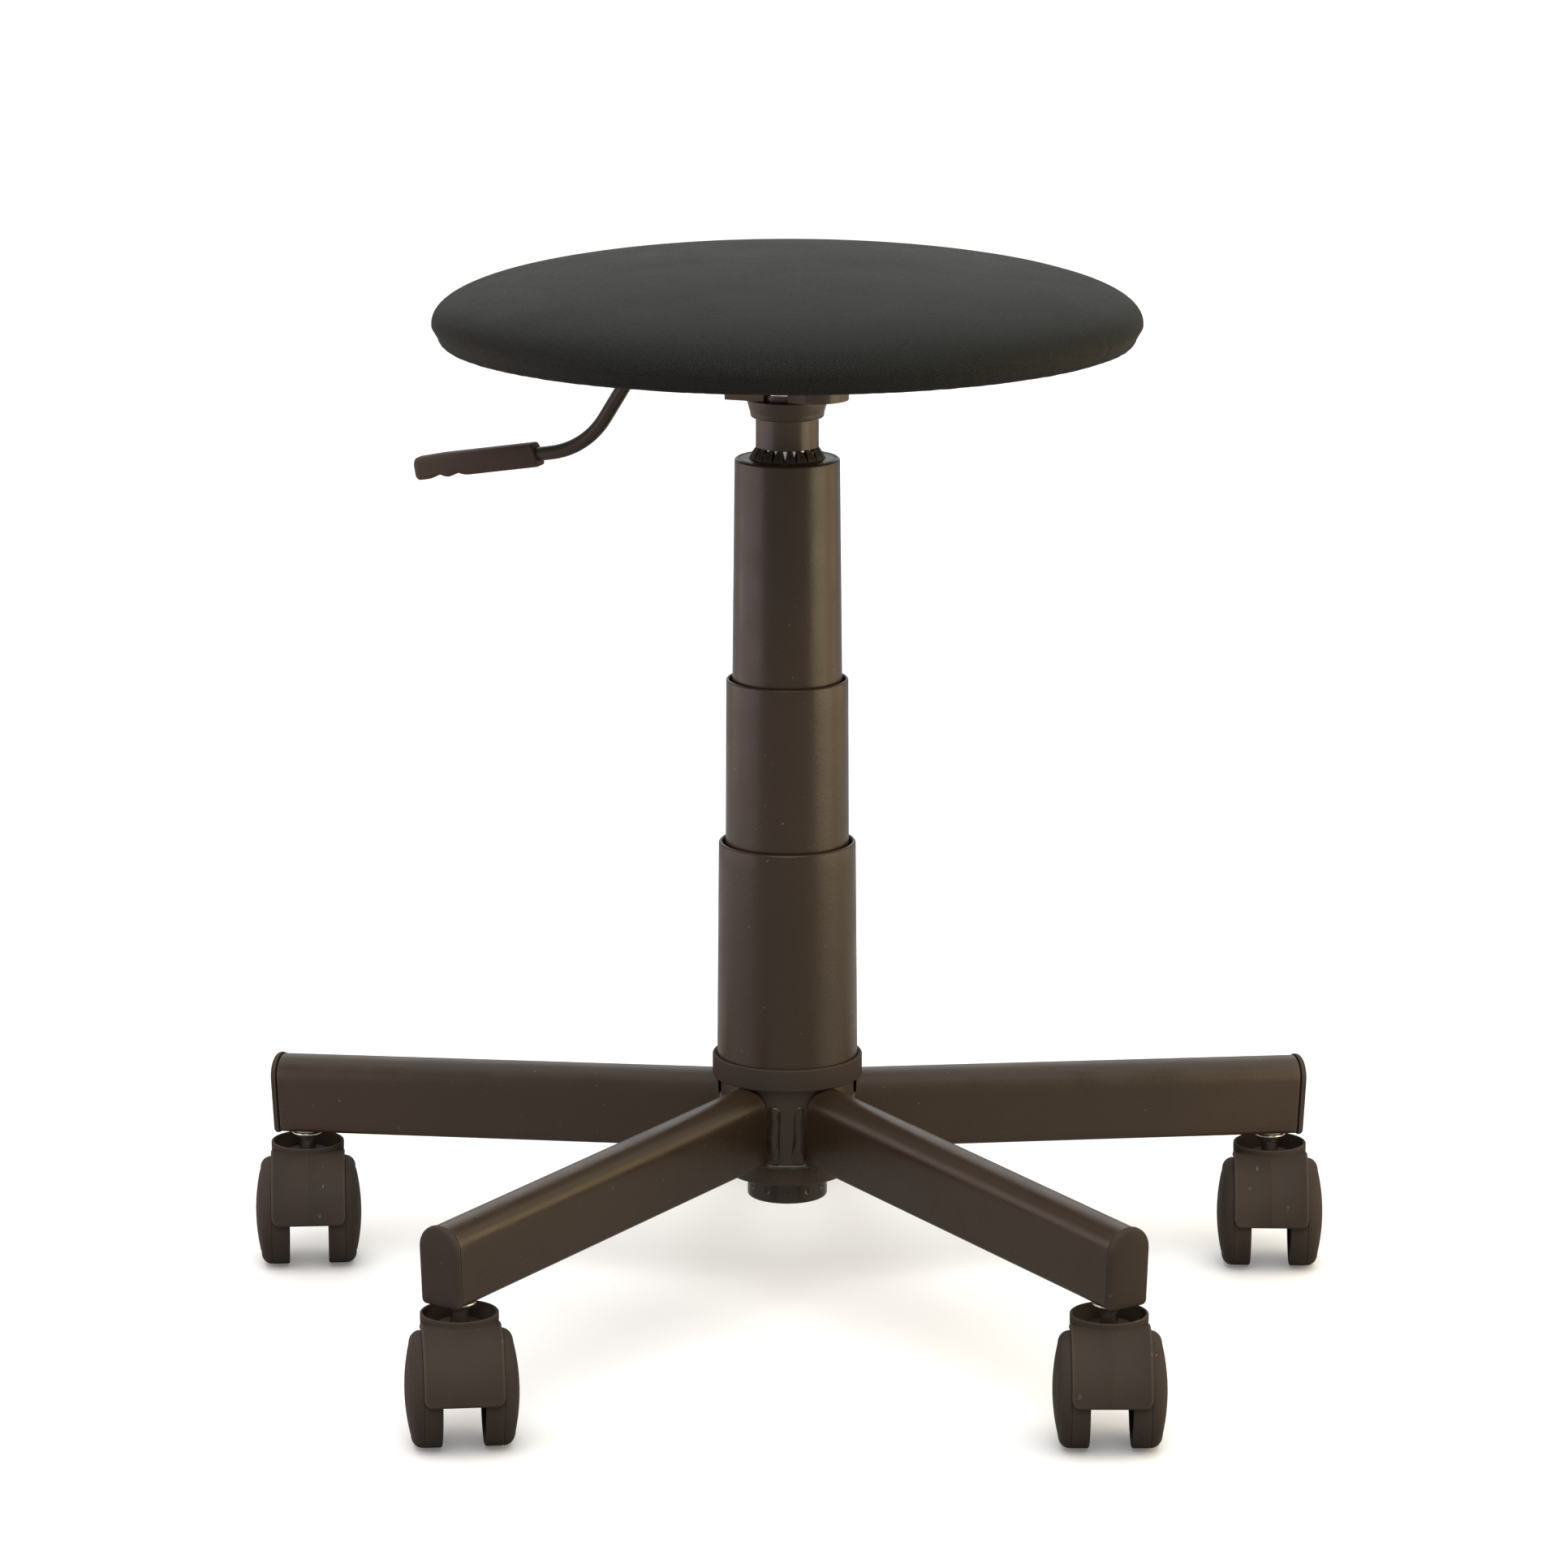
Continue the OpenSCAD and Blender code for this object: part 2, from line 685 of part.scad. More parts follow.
hub();
end_caps();
weld_beads();
caster_sockets();
caster_stems();
column_tube();
bottom_cup();
thrust_bearing();
rubber_buffer();
retaining_clip();
piston_rod();
piston();
guide_sleeve();
collar_ring();
lower_cover();
middle_cover();
upper_cover();
cover_crown();
gas_cylinder();
cylinder_seal();
cylinder_sleeve();
release_button();
socket_cup();
seat_plate();
seat_bolts();
t_nuts();
seat_board();
seat_foam();
seat_cover();
dust_cloth();
staples();
lever_pin();
lever_rod();
lever_grip();
for (i = [1 : arms]) {
    arm(i);
    caster_hood(i);
    caster_axle(i);
    wheel_left(i);
    wheel_right(i);
}
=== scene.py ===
"""Looks of the adjustable swivel stool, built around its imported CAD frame.

Metres, in the CAD frame: +Z is up, the front is towards -Y and the floor is z = 0.
"""
import json
import math

import bmesh
import bpy
from mathutils import Matrix, Vector, kdtree, noise


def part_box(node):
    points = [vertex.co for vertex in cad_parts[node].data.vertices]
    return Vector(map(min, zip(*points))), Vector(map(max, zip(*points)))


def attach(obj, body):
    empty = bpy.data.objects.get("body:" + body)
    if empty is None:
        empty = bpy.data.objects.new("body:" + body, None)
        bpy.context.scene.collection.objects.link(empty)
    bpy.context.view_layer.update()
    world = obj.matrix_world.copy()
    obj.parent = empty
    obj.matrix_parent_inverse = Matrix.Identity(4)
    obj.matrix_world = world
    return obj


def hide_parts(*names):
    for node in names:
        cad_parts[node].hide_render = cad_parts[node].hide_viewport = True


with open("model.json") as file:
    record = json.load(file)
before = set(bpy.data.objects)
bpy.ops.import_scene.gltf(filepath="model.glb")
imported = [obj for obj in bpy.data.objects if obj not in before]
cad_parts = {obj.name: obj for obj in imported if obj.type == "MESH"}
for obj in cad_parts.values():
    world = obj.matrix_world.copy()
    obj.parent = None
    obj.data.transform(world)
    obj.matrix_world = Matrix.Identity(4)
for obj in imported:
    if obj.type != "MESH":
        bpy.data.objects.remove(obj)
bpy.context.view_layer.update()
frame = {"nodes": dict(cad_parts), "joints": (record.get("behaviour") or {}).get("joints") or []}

MM = 0.001
TURN = 2 * math.pi
JOINTS = {joint["name"]: joint for joint in frame["joints"]}
ARMS = range(1, 6)


# ---- Materials ----

def srgb(red, green, blue):
    """Scene-linear colour of an sRGB colour given from 0 to 255."""
    return tuple(((c / 255 + 0.055) / 1.055) ** 2.4 for c in (red, green, blue)) + (1,)


class Look:
    """A procedural material on one Principled shader, in the object's own metres."""

    def __init__(self, name, **sockets):
        self.material = bpy.data.materials.new(name)
        self.material.use_nodes = True
        self.tree = self.material.node_tree
        self.shader = self.tree.nodes["Principled BSDF"]
        for socket, value in sockets.items():
            self.shader.inputs[socket.replace("_", " ")].default_value = value
        self.place = self.add("ShaderNodeTexCoord").outputs["Object"]
        self.normal = None

    def add(self, kind, inputs=None, **settings):
        node = self.tree.nodes.new(kind)
        for name, value in settings.items():
            setattr(node, name, value)
        for socket, value in (inputs or {}).items():
            if isinstance(value, bpy.types.NodeSocket):
                self.tree.links.new(value, node.inputs[socket])
            else:
                node.inputs[socket].default_value = value
        return node

    def stretched(self, x, y, z):
        """Coordinates scaled by a factor along each axis."""
        node = self.add("ShaderNodeMapping", {"Vector": self.place, "Scale": (x, y, z)})
        return node.outputs["Vector"]

    def noise(self, size, detail=2.0, place=None, rough=0.5):
        """Soft noise whose blobs measure about size metres, from 0 to 1."""
        inputs = {"Vector": place or self.place, "Scale": 0.5 / size, "Detail": detail, "Roughness": rough}
        return self.add("ShaderNodeTexNoise", inputs).outputs["Fac"]

    def cells(self, size, feature="F1", place=None):
        """Distance field of cells that measure about size metres."""
        inputs = {"Vector": place or self.place, "Scale": 1 / size}
        return self.add("ShaderNodeTexVoronoi", inputs, feature=feature).outputs["Distance"]

    def edges(self, low=0.52, high=0.62):
        """1 on sharp outer edges, lightened there for rubbed wear and a painted highlight; 0 elsewhere."""
        return self.span(self.add("ShaderNodeNewGeometry").outputs["Pointiness"], low, high)

    def span(self, value, low, high, start=0.0, end=1.0):
        """Value remapped from low..high to start..end, clamped."""
        inputs = {"Value": value, "From Min": low, "From Max": high, "To Min": start, "To Max": end}
        return self.add("ShaderNodeMapRange", inputs).outputs["Result"]

    def combine(self, kind, a, b):
        return self.add("ShaderNodeMath", {0: a, 1: b}, operation=kind).outputs["Value"]

    def vectors(self, kind, a, b):
        return self.add("ShaderNodeVectorMath", {0: a, 1: b}, operation=kind).outputs["Vector"]

    def mix(self, factor, a, b):
        node = self.add("ShaderNodeMix", {0: factor, 6: a, 7: b}, data_type="RGBA")
        return node.outputs[2]

    def bump(self, height, depth):
        """Adds relief of the given depth in metres."""
        inputs = {"Height": height, "Distance": depth, "Strength": 1.0}
        if self.normal:
            inputs["Normal"] = self.normal
        self.normal = self.add("ShaderNodeBump", inputs).outputs["Normal"]

    def done(self, colour=None, roughness=None):
        for socket, value in (("Base Color", colour), ("Roughness", roughness), ("Normal", self.normal)):
            if value is not None:
                self.tree.links.new(value, self.shader.inputs[socket])
        return self.material


def painted(name, base, pale, roughness):
    """Satin powder coat: fine orange peel, faint clouding, dust specks, and outer edges lightened for
    rubbed wear and a painted highlight.
    """
    look = Look(name, Specular_IOR_Level=0.42)
    cloud = look.noise(60 * MM, 3)
    specks = look.span(look.noise(0.9 * MM, 1), 0.78, 0.82)
    colour = look.mix(look.span(cloud, 0.35, 0.65), base, pale)
    colour = look.mix(look.combine("MULTIPLY", specks, 0.35), colour, srgb(150, 140, 128))
    # Outer edges lightened: partly rubbed wear, partly a painted highlight.
    colour = look.mix(look.combine("MULTIPLY", look.edges(), 0.35), colour, srgb(126, 112, 98))
    look.bump(look.noise(0.5 * MM, 2), 0.05 * MM)
    look.bump(look.noise(4 * MM, 2), 0.05 * MM)
    return look.done(colour, look.span(look.noise(9 * MM, 4), 0.3, 0.7, roughness - 0.05, roughness + 0.07))


def moulded(name, base, pale, roughness, grain=0.45 * MM):
    """Moulded plastic: spark-eroded texture, flow clouding, a few pale scuffs, and outer edges lightened
    for rubbed wear and a painted highlight.
    """
    look = Look(name, Specular_IOR_Level=0.07)
    cloud = look.noise(14 * MM, 4)
    scuffs = look.span(look.noise(2.2 * MM, 4, look.stretched(1, 0.35, 0.8)), 0.70, 0.76)
    colour = look.mix(look.span(cloud, 0.3, 0.7), base, pale)
    colour = look.mix(look.combine("MULTIPLY", scuffs, 0.30), colour, srgb(150, 143, 134))
    # Outer edges lightened: partly rubbed wear, partly a painted highlight.
    colour = look.mix(look.combine("MULTIPLY", look.edges(), 0.32), colour, srgb(132, 122, 110))
    look.bump(look.noise(grain, 2), 0.06 * MM)
    return look.done(colour, look.span(cloud, 0.3, 0.7, roughness - 0.06, roughness + 0.08))


def leathercloth():
    """Charcoal leathercloth: pebbled grain with painted shade in its fine creases, soft mottling and rubbed
    highlights.
    """
    look = Look("leathercloth", Specular_IOR_Level=0.145)
    warp = look.add("ShaderNodeTexNoise", {"Vector": look.place, "Scale": 180.0, "Detail": 2.0})
    bent = look.vectors("MULTIPLY", warp.outputs["Color"], (1.2 * MM,) * 3)
    place = look.vectors("ADD", look.place, bent)
    pebbles = look.cells(1.25 * MM, "DISTANCE_TO_EDGE", place)
    fine = look.cells(0.55 * MM, "F1", place)
    mottle = look.noise(26 * MM, 5, rough=0.6)
    creases = look.span(pebbles, 0.0, 0.16)
    colour = look.mix(look.span(mottle, 0.3, 0.7), srgb(27, 28, 25), srgb(32, 33, 30))
    # Painted shade: the creases between the pebbles are darkened.
    colour = look.mix(look.combine("MULTIPLY", look.span(creases, 1.0, 0.0), 0.8), colour, srgb(14, 14, 12))
    look.bump(creases, 0.15 * MM)
    look.bump(fine, 0.06 * MM)
    look.bump(look.noise(7 * MM, 3), 0.06 * MM)
    return look.done(colour, look.span(mottle, 0.3, 0.7, 0.53, 0.60))


def cloth():
    """Black spun-bonded underside cloth: pressed dimples over tangled fibres."""
    look = Look("black_cloth", Specular_IOR_Level=0.2, Sheen_Weight=0.25)
    fibres = look.noise(0.35 * MM, 3, look.stretched(1, 0.25, 1))
    dimples = look.cells(1.6 * MM)
    colour = look.mix(fibres, srgb(18, 18, 18), srgb(44, 43, 42))
    look.bump(fibres, 0.08 * MM)
    look.bump(look.span(dimples, 0.1, 0.5), 0.12 * MM)
    return look.done(colour, look.span(fibres, 0.3, 0.7, 0.85, 0.95))


def metal(name, base, dull, roughness, along=(1, 1, 1)):
    """Bare steel: drawn along one direction, with dull staining."""
    look = Look(name, Metallic=1.0)
    marks = look.noise(0.7 * MM, 3, look.stretched(*along))
    stain = look.noise(8 * MM, 4)
    look.bump(marks, 0.012 * MM)
    rough = look.span(marks, 0.3, 0.7, roughness - 0.06, roughness + 0.10)
    return look.done(look.mix(look.span(stain, 0.4, 0.7), base, dull), rough)


def plywood():
    """Birch plywood: long grain with darker pores."""
    look = Look("plywood", Specular_IOR_Level=0.3)
    grain = look.noise(2.2 * MM, 5, look.stretched(0.07, 1, 1))
    colour = look.mix(look.span(grain, 0.35, 0.65), srgb(196, 160, 116), srgb(226, 196, 152))
    look.bump(grain, 0.1 * MM)
    return look.done(colour, look.span(grain, 0.3, 0.7, 0.6, 0.75))


def foam():
    """Open-cell polyurethane foam, with painted shade in its pores."""
    look = Look("foam", Specular_IOR_Level=0.1)
    pores = look.span(look.cells(1.4 * MM), 0.1, 0.6)
    # Painted shade: the pore hollows are darker than the cell walls.
    colour = look.mix(pores, srgb(150, 130, 84), srgb(216, 200, 150))
    look.bump(pores, 0.5 * MM)
    return look.done(colour, look.span(pores, 0.0, 1.0, 0.95, 0.85))


PAINT = painted("brown_paint", srgb(48, 36, 24), srgb(54, 40, 27), 0.31)
# Darker, glossier copy of the brown paint, for the weld seams and, as painted shade, for the cup under the
# hub.
WELD_AND_SHADE_PAINT = painted("weld_and_shaded_paint", srgb(40, 31, 23), srgb(52, 42, 32), 0.20)
PLASTIC = moulded("brown_plastic", srgb(57, 49, 44), srgb(63, 55, 49), 0.60)
# Glossier grip plastic, its colour lightened as painted light because the grip sits in the seat's shade.
LIGHTENED_GRIP = moulded("grip_plastic_lightened", srgb(70, 59, 53), srgb(77, 66, 59), 0.45)
DARK = moulded("dark_plastic", srgb(15, 11, 10), srgb(22, 17, 15), 0.45)
RUBBER = moulded("rubber", srgb(20, 20, 20), srgb(30, 30, 29), 0.70)
LEATHER = leathercloth()
CLOTH = cloth()
STEEL = metal("steel", srgb(190, 189, 186), srgb(150, 146, 140), 0.34, (1, 1, 0.1))
BRIGHT = metal("bright_steel", srgb(222, 221, 218), srgb(180, 176, 168), 0.16, (1, 1, 6))
PLY = plywood()
FOAM = foam()


# ---- Mesh building ----

def mix(a, b, t):
    return a + (b - a) * t


def smooth(t):
    """Eased step from 0 to 1."""
    t = min(max(t, 0.0), 1.0)
    return t * t * (3 - 2 * t)


def arc(x, y, r, start, end, steps=6):
    """Points on an arc, from angle start to angle end in degrees."""
    turns = [math.radians(mix(start, end, k / steps)) for k in range(steps + 1)]
    return [(x + r * math.cos(t), y + r * math.sin(t)) for t in turns]


def fillet(corners, steps=4):
    """A closed outline with rounded corners: each corner is (x, y) or (x, y, radius)."""
    outline = []
    for k, corner in enumerate(corners):
        here = Vector(corner[:2])
        if len(corner) == 2:
            outline.append(tuple(here))
            continue
        back = (Vector(corners[k - 1][:2]) - here).normalized()
        on = (Vector(corners[(k + 1) % len(corners)][:2]) - here).normalized()
        angle = back.angle(on)
        centre = here + (back + on).normalized() * corner[2] / math.sin(angle / 2)
        first = here + back * corner[2] / math.tan(angle / 2) - centre
        last = here + on * corner[2] / math.tan(angle / 2) - centre
        sweep = math.pi - angle
        for s in range(steps + 1):
            t = s / steps
            point = first * math.sin((1 - t) * sweep) + last * math.sin(t * sweep)
            outline.append(tuple(centre + point / math.sin(sweep)))
    return outline


def lathe(bm, profile, steps=128, place=Matrix(), warp=None):
    """Turns a closed profile of (radius, height) points round the Z axis."""
    rows = []
    for r, z in profile:
        count = 1 if r < 1e-7 else steps
        turns = [TURN * k / steps for k in range(count)]
        points = [Vector((r * math.cos(t), r * math.sin(t), z)) for t in turns]
        rows.append([bm.verts.new(place @ (warp(p) if warp else p)) for p in points])
    for a, b in zip(rows, rows[1:] + rows[:1]):
        for k in range(steps):
            corners = (a[k % len(a)], a[(k + 1) % len(a)], b[(k + 1) % len(b)], b[k % len(b)])
            corners = list(dict.fromkeys(corners))
            if len(corners) > 2:
                bm.faces.new(corners)


def loft(bm, rings, place=Matrix(), looped=False):
    """Skins a run of closed rings of points, capped at its ends unless it is looped."""
    rows = [[bm.verts.new(place @ Vector(p)) for p in ring] for ring in rings]
    pairs = zip(rows, rows[1:] + rows[:1]) if looped else zip(rows, rows[1:])
    for a, b in pairs:
        for k in range(len(a)):
            n = (k + 1) % len(a)
            bm.faces.new((a[k], a[n], b[n], b[k]))
    if not looped:
        bm.faces.new(rows[0])
        bm.faces.new(rows[-1])


def prism(bm, outline, low, high, edge, place=Matrix()):
    """Extrudes an outline from low to high with rounded rims; a point is (x, y)."""
    middle = sum((Vector(p) for p in outline), Vector((0, 0))) / len(outline)
    rings = []
    for level, side in ((low, 1), (high, -1)):
        quarter = [math.radians(90 * s / 3) for s in range(4)]
        for t in quarter if side > 0 else reversed(quarter):
            inset = edge * (1 - math.sin(t))
            z = level + side * edge * (1 - math.cos(t))
            ring = [Vector(p) - (Vector(p) - middle).normalized() * inset for p in outline]
            rings.append([(p.x, p.y, z) for p in ring])
    loft(bm, rings, place)


def piece(bm, name, material, slot, body, *nodes, angle=38):
    """Turns the mesh into a finished piece that rides a body and stands for CAD nodes."""
    bmesh.ops.recalc_face_normals(bm, faces=bm.faces)
    mesh = bpy.data.meshes.new(name)
    bm.to_mesh(mesh)
    bm.free()
    mesh.shade_smooth()
    mesh.set_sharp_from_angle(angle=math.radians(angle))
    mesh.materials.append(material)
    made = bpy.data.objects.new(name, mesh)
    bpy.context.scene.collection.objects.link(made)
    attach(made, body)
    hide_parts(*nodes)
    return made


def turned(name, profile, material, slot, body, node, steps=160, warp=None):
    """One turned part, from its profile."""
    bm = bmesh.new()
    lathe(bm, profile, steps, warp=warp)
    return piece(bm, name, material, slot, body, node)


def rough(point, size, seed=0.0):
    """Smooth noise from -1 to 1 with blobs of that size, in metres."""
    return noise.noise(Vector(point) / size + Vector((seed, seed * 0.7, -seed)))


# ---- Base: arms, hub and welds ----

HUB_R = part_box("hub")[1].x
TUBE_R = 20 * MM
STEP_R, STEP_Z = 27 * MM, 71.5 * MM
WELD_SINK = 0.3 * MM
ARM_W, ARM_H, ARM_WALL, ARM_CORNER = 20 * MM, 35 * MM, 1.5 * MM, 1.8 * MM
ARM_Z, ARM_FALL = 74 * MM, math.radians(3.2)
TIP = 248.7 * MM
CAP, CAP_LIP, PLUG = 4 * MM, 0.6 * MM, 10 * MM
ARM_STEPS, ARM_RIM = 40, 0.0015
CAP_GROOVE = 0.9 * MM


def stem(i):
    """Place of arm i's caster stem."""
    return Vector(JOINTS[f"caster_swivel_{i}"]["pos_m"])


def arm_place(i):
    """Frame of arm i: x runs outward along its underside."""
    heading = math.atan2(stem(i).y, stem(i).x)
    root = Matrix.Rotation(heading, 4, "Z") @ Matrix.Translation((0, 0, ARM_Z))
    return root @ Matrix.Rotation(ARM_FALL, 4, "Y")


def arch(grow):
    """Outline of an arm tube, grown by that much: (y, z) points."""
    half = ARM_W / 2 + grow
    corner = max(ARM_CORNER + grow, 0.15 * MM)
    springing, bottom = ARM_H - ARM_W / 2, -grow
    top = arc(0, springing, half, 0, 180, 20)
    left = [(-half, mix(springing, bottom + corner, k / 8)) for k in range(1, 8)]
    left += arc(-half + corner, bottom + corner, corner, 180, 270, 4)
    under = [(mix(-half + corner, half - corner, k / 8), bottom) for k in range(1, 8)]
    right = [(-y, z) for y, z in reversed(left)]
    return top + left + under + right


def arm(i):
    """Arm tube, coped to the hub, with close rings at both ends to keep the lightened edges (rubbed wear
    and painted highlight) narrow.
    """
    bm = bmesh.new()
    outer, inner = arch(0), arch(-ARM_WALL)
    end = TIP - CAP
    start = [[(math.sqrt(HUB_R ** 2 - y ** 2) - WELD_SINK, y, z) for y, z in ring]
             for ring in (outer, inner)]
    stops = [0, ARM_RIM] + [k / ARM_STEPS for k in range(1, ARM_STEPS)] + [1 - ARM_RIM, 1]
    steps = [[(mix(x, end, t), y, z) for x, y, z in start[0]] for t in stops]
    rings = steps + [[(end, y, z) for y, z in inner], start[1]]
    loft(bm, rings, arm_place(i), looped=True)
    return piece(bm, f"arm_tube_{i}", PAINT, "brown_paint", "base", f"arm_{i}")


def end_caps():
    """Arch-shaped caps: a plug, a groove next to the tube, a soft edge and a faintly domed face."""
    bm = bmesh.new()
    edge, dome, bevel = 1.7 * MM, 0.45 * MM, 0.25 * MM
    base = TIP - CAP
    back = base + CAP_GROOVE
    steps = [(base - PLUG, -ARM_WALL), (back, -ARM_WALL), (back, CAP_LIP - bevel),
             (back + bevel, CAP_LIP), (TIP - dome - edge, CAP_LIP)]
    for x, y in arc(TIP - dome - edge, CAP_LIP - edge, edge, 90, 15, 5)[1:]:
        steps.append((x, y))
    for share in (0.25, 0.5, 0.75, 0.97):
        inset = mix(CAP_LIP - edge, -ARM_W / 2, share)
        steps.append((TIP - dome * (1 - share) ** 2 * 0.9, inset))
    for i in ARMS:
        loft(bm, [[(x, y, z) for y, z in arch(grow)] for x, grow in steps], arm_place(i))
    return piece(bm, "arm_end_caps", PLASTIC, "brown_plastic", "base", "end_caps")


def hub():
    """Turned hub with a shadowed step, roughened by the weld above it."""
    low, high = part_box("hub")
    outline = fillet([(TUBE_R, low.z), (STEP_R, low.z, 0.8 * MM), (STEP_R, STEP_Z - 0.6 * MM),
                      (STEP_R, STEP_Z), (HUB_R, STEP_Z, 0.7 * MM), (HUB_R, mix(STEP_Z, high.z, 0.25)),
                      (HUB_R, mix(STEP_Z, high.z, 0.5)), (HUB_R, high.z, 0.5 * MM), (TUBE_R, high.z)])

    def warp(p):
        near = math.exp(-((p.z - STEP_Z) / (3 * MM)) ** 2)
        swell = near * (0.35 * rough(p, 2.2 * MM) + 0.25 * rough(p, 5 * MM, 3)) * MM
        return Vector((p.x, p.y, 0)) * (1 + max(swell, -0.1 * MM) / HUB_R) + Vector((0, 0, p.z))

    return turned("hub_body", outline, PAINT, "brown_paint", "base", "hub", 256, warp)


BEAD_HALF, BEAD_RISE, BEAD_SINK, BEAD_STEPS = 3.1 * MM, 1.9 * MM, 0.5 * MM, 90
SPATTER = 46


def weld_bead(bm, turn, low, high, seed):
    """An upright, uneven bead laid on the hub at that angle."""
    out = Vector((math.cos(turn), math.sin(turn), 0))
    along = Vector((-math.sin(turn), math.cos(turn), 0))
    rings = []
    for k in range(BEAD_STEPS + 1):
        t = k / BEAD_STEPS
        z = mix(low, high, t)
        ripple = 1 + 0.015 * math.sin(TURN * z / (1.3 * MM)) + 0.26 * rough((0, 0, z), 7 * MM, seed)
        taper = max(math.sqrt(max(1 - (2 * t - 1) ** 12, 0)), 0.2)
        drift = 0.7 * MM * rough((0, 0, z), 9 * MM, seed + 5)
        centre = out * (HUB_R - BEAD_SINK) + along * drift + Vector((0, 0, z))
        ring = []
        for a in [TURN * j / 18 for j in range(18)]:
            fold = 1 + 0.22 * rough((math.cos(a), math.sin(a), z / (6 * MM)), 0.8, seed)
            reach = along * BEAD_HALF * math.cos(a) + out * BEAD_RISE * math.sin(a)
            ring.append(tuple(centre + ripple * taper * fold * reach))
        rings.append(ring)
    loft(bm, rings)


def weld_beads():
    """Upright beads in the corners between arms and hub, a run round the step, and spatter."""
    bm = bmesh.new()
    low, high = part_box("weld_beads")
    for i in ARMS:
        heading = math.atan2(stem(i).y, stem(i).x)
        for side in (-1, 1):
            turn = heading + side * (math.asin(ARM_W / 2 / HUB_R) + BEAD_HALF * 0.85 / HUB_R)
            weld_bead(bm, turn, low.z - 1 * MM, high.z + 5 * MM, i * 3.1 + side)
    run_z, run_steps = STEP_Z + 0.2 * MM, 240
    ring = []
    for k in range(run_steps):
        turn = TURN * k / run_steps
        out = Vector((math.cos(turn), math.sin(turn), 0))
        radius = (1.0 + 0.35 * rough(out * 0.03, 3 * MM, 5)) * MM
        centre = out * (HUB_R - BEAD_SINK)
        centre.z = run_z + 0.5 * MM * rough(out * 0.03, 6 * MM, 8)
        ring.append([tuple(centre + out * radius * math.cos(a) + Vector((0, 0, radius * math.sin(a))))
                     for a in [TURN * j / 10 for j in range(10)]])
    loft(bm, ring, looped=True)
    for k in range(SPATTER):
        turn = TURN * (k / SPATTER + 0.02 * rough((k, 0, 0), 1.7))
        height = run_z + (rough((0, k, 0), 1.3) * 7 - 3) * MM
        wall = STEP_R if height < STEP_Z else HUB_R
        size = (0.35 + 0.3 * abs(rough((0, 0, k), 1.9))) * MM
        spot = Matrix.Translation((wall * math.cos(turn), wall * math.sin(turn), height))
        made = bmesh.ops.create_icosphere(bm, subdivisions=2, radius=size, matrix=spot)
        for v in made["verts"]:
            v.co += (v.co - spot.translation) * 0.4 * rough(v.co, 0.8 * MM)
    return piece(bm, "weld_seams", WELD_AND_SHADE_PAINT, "brown_paint", "base", "weld_beads", angle=60)


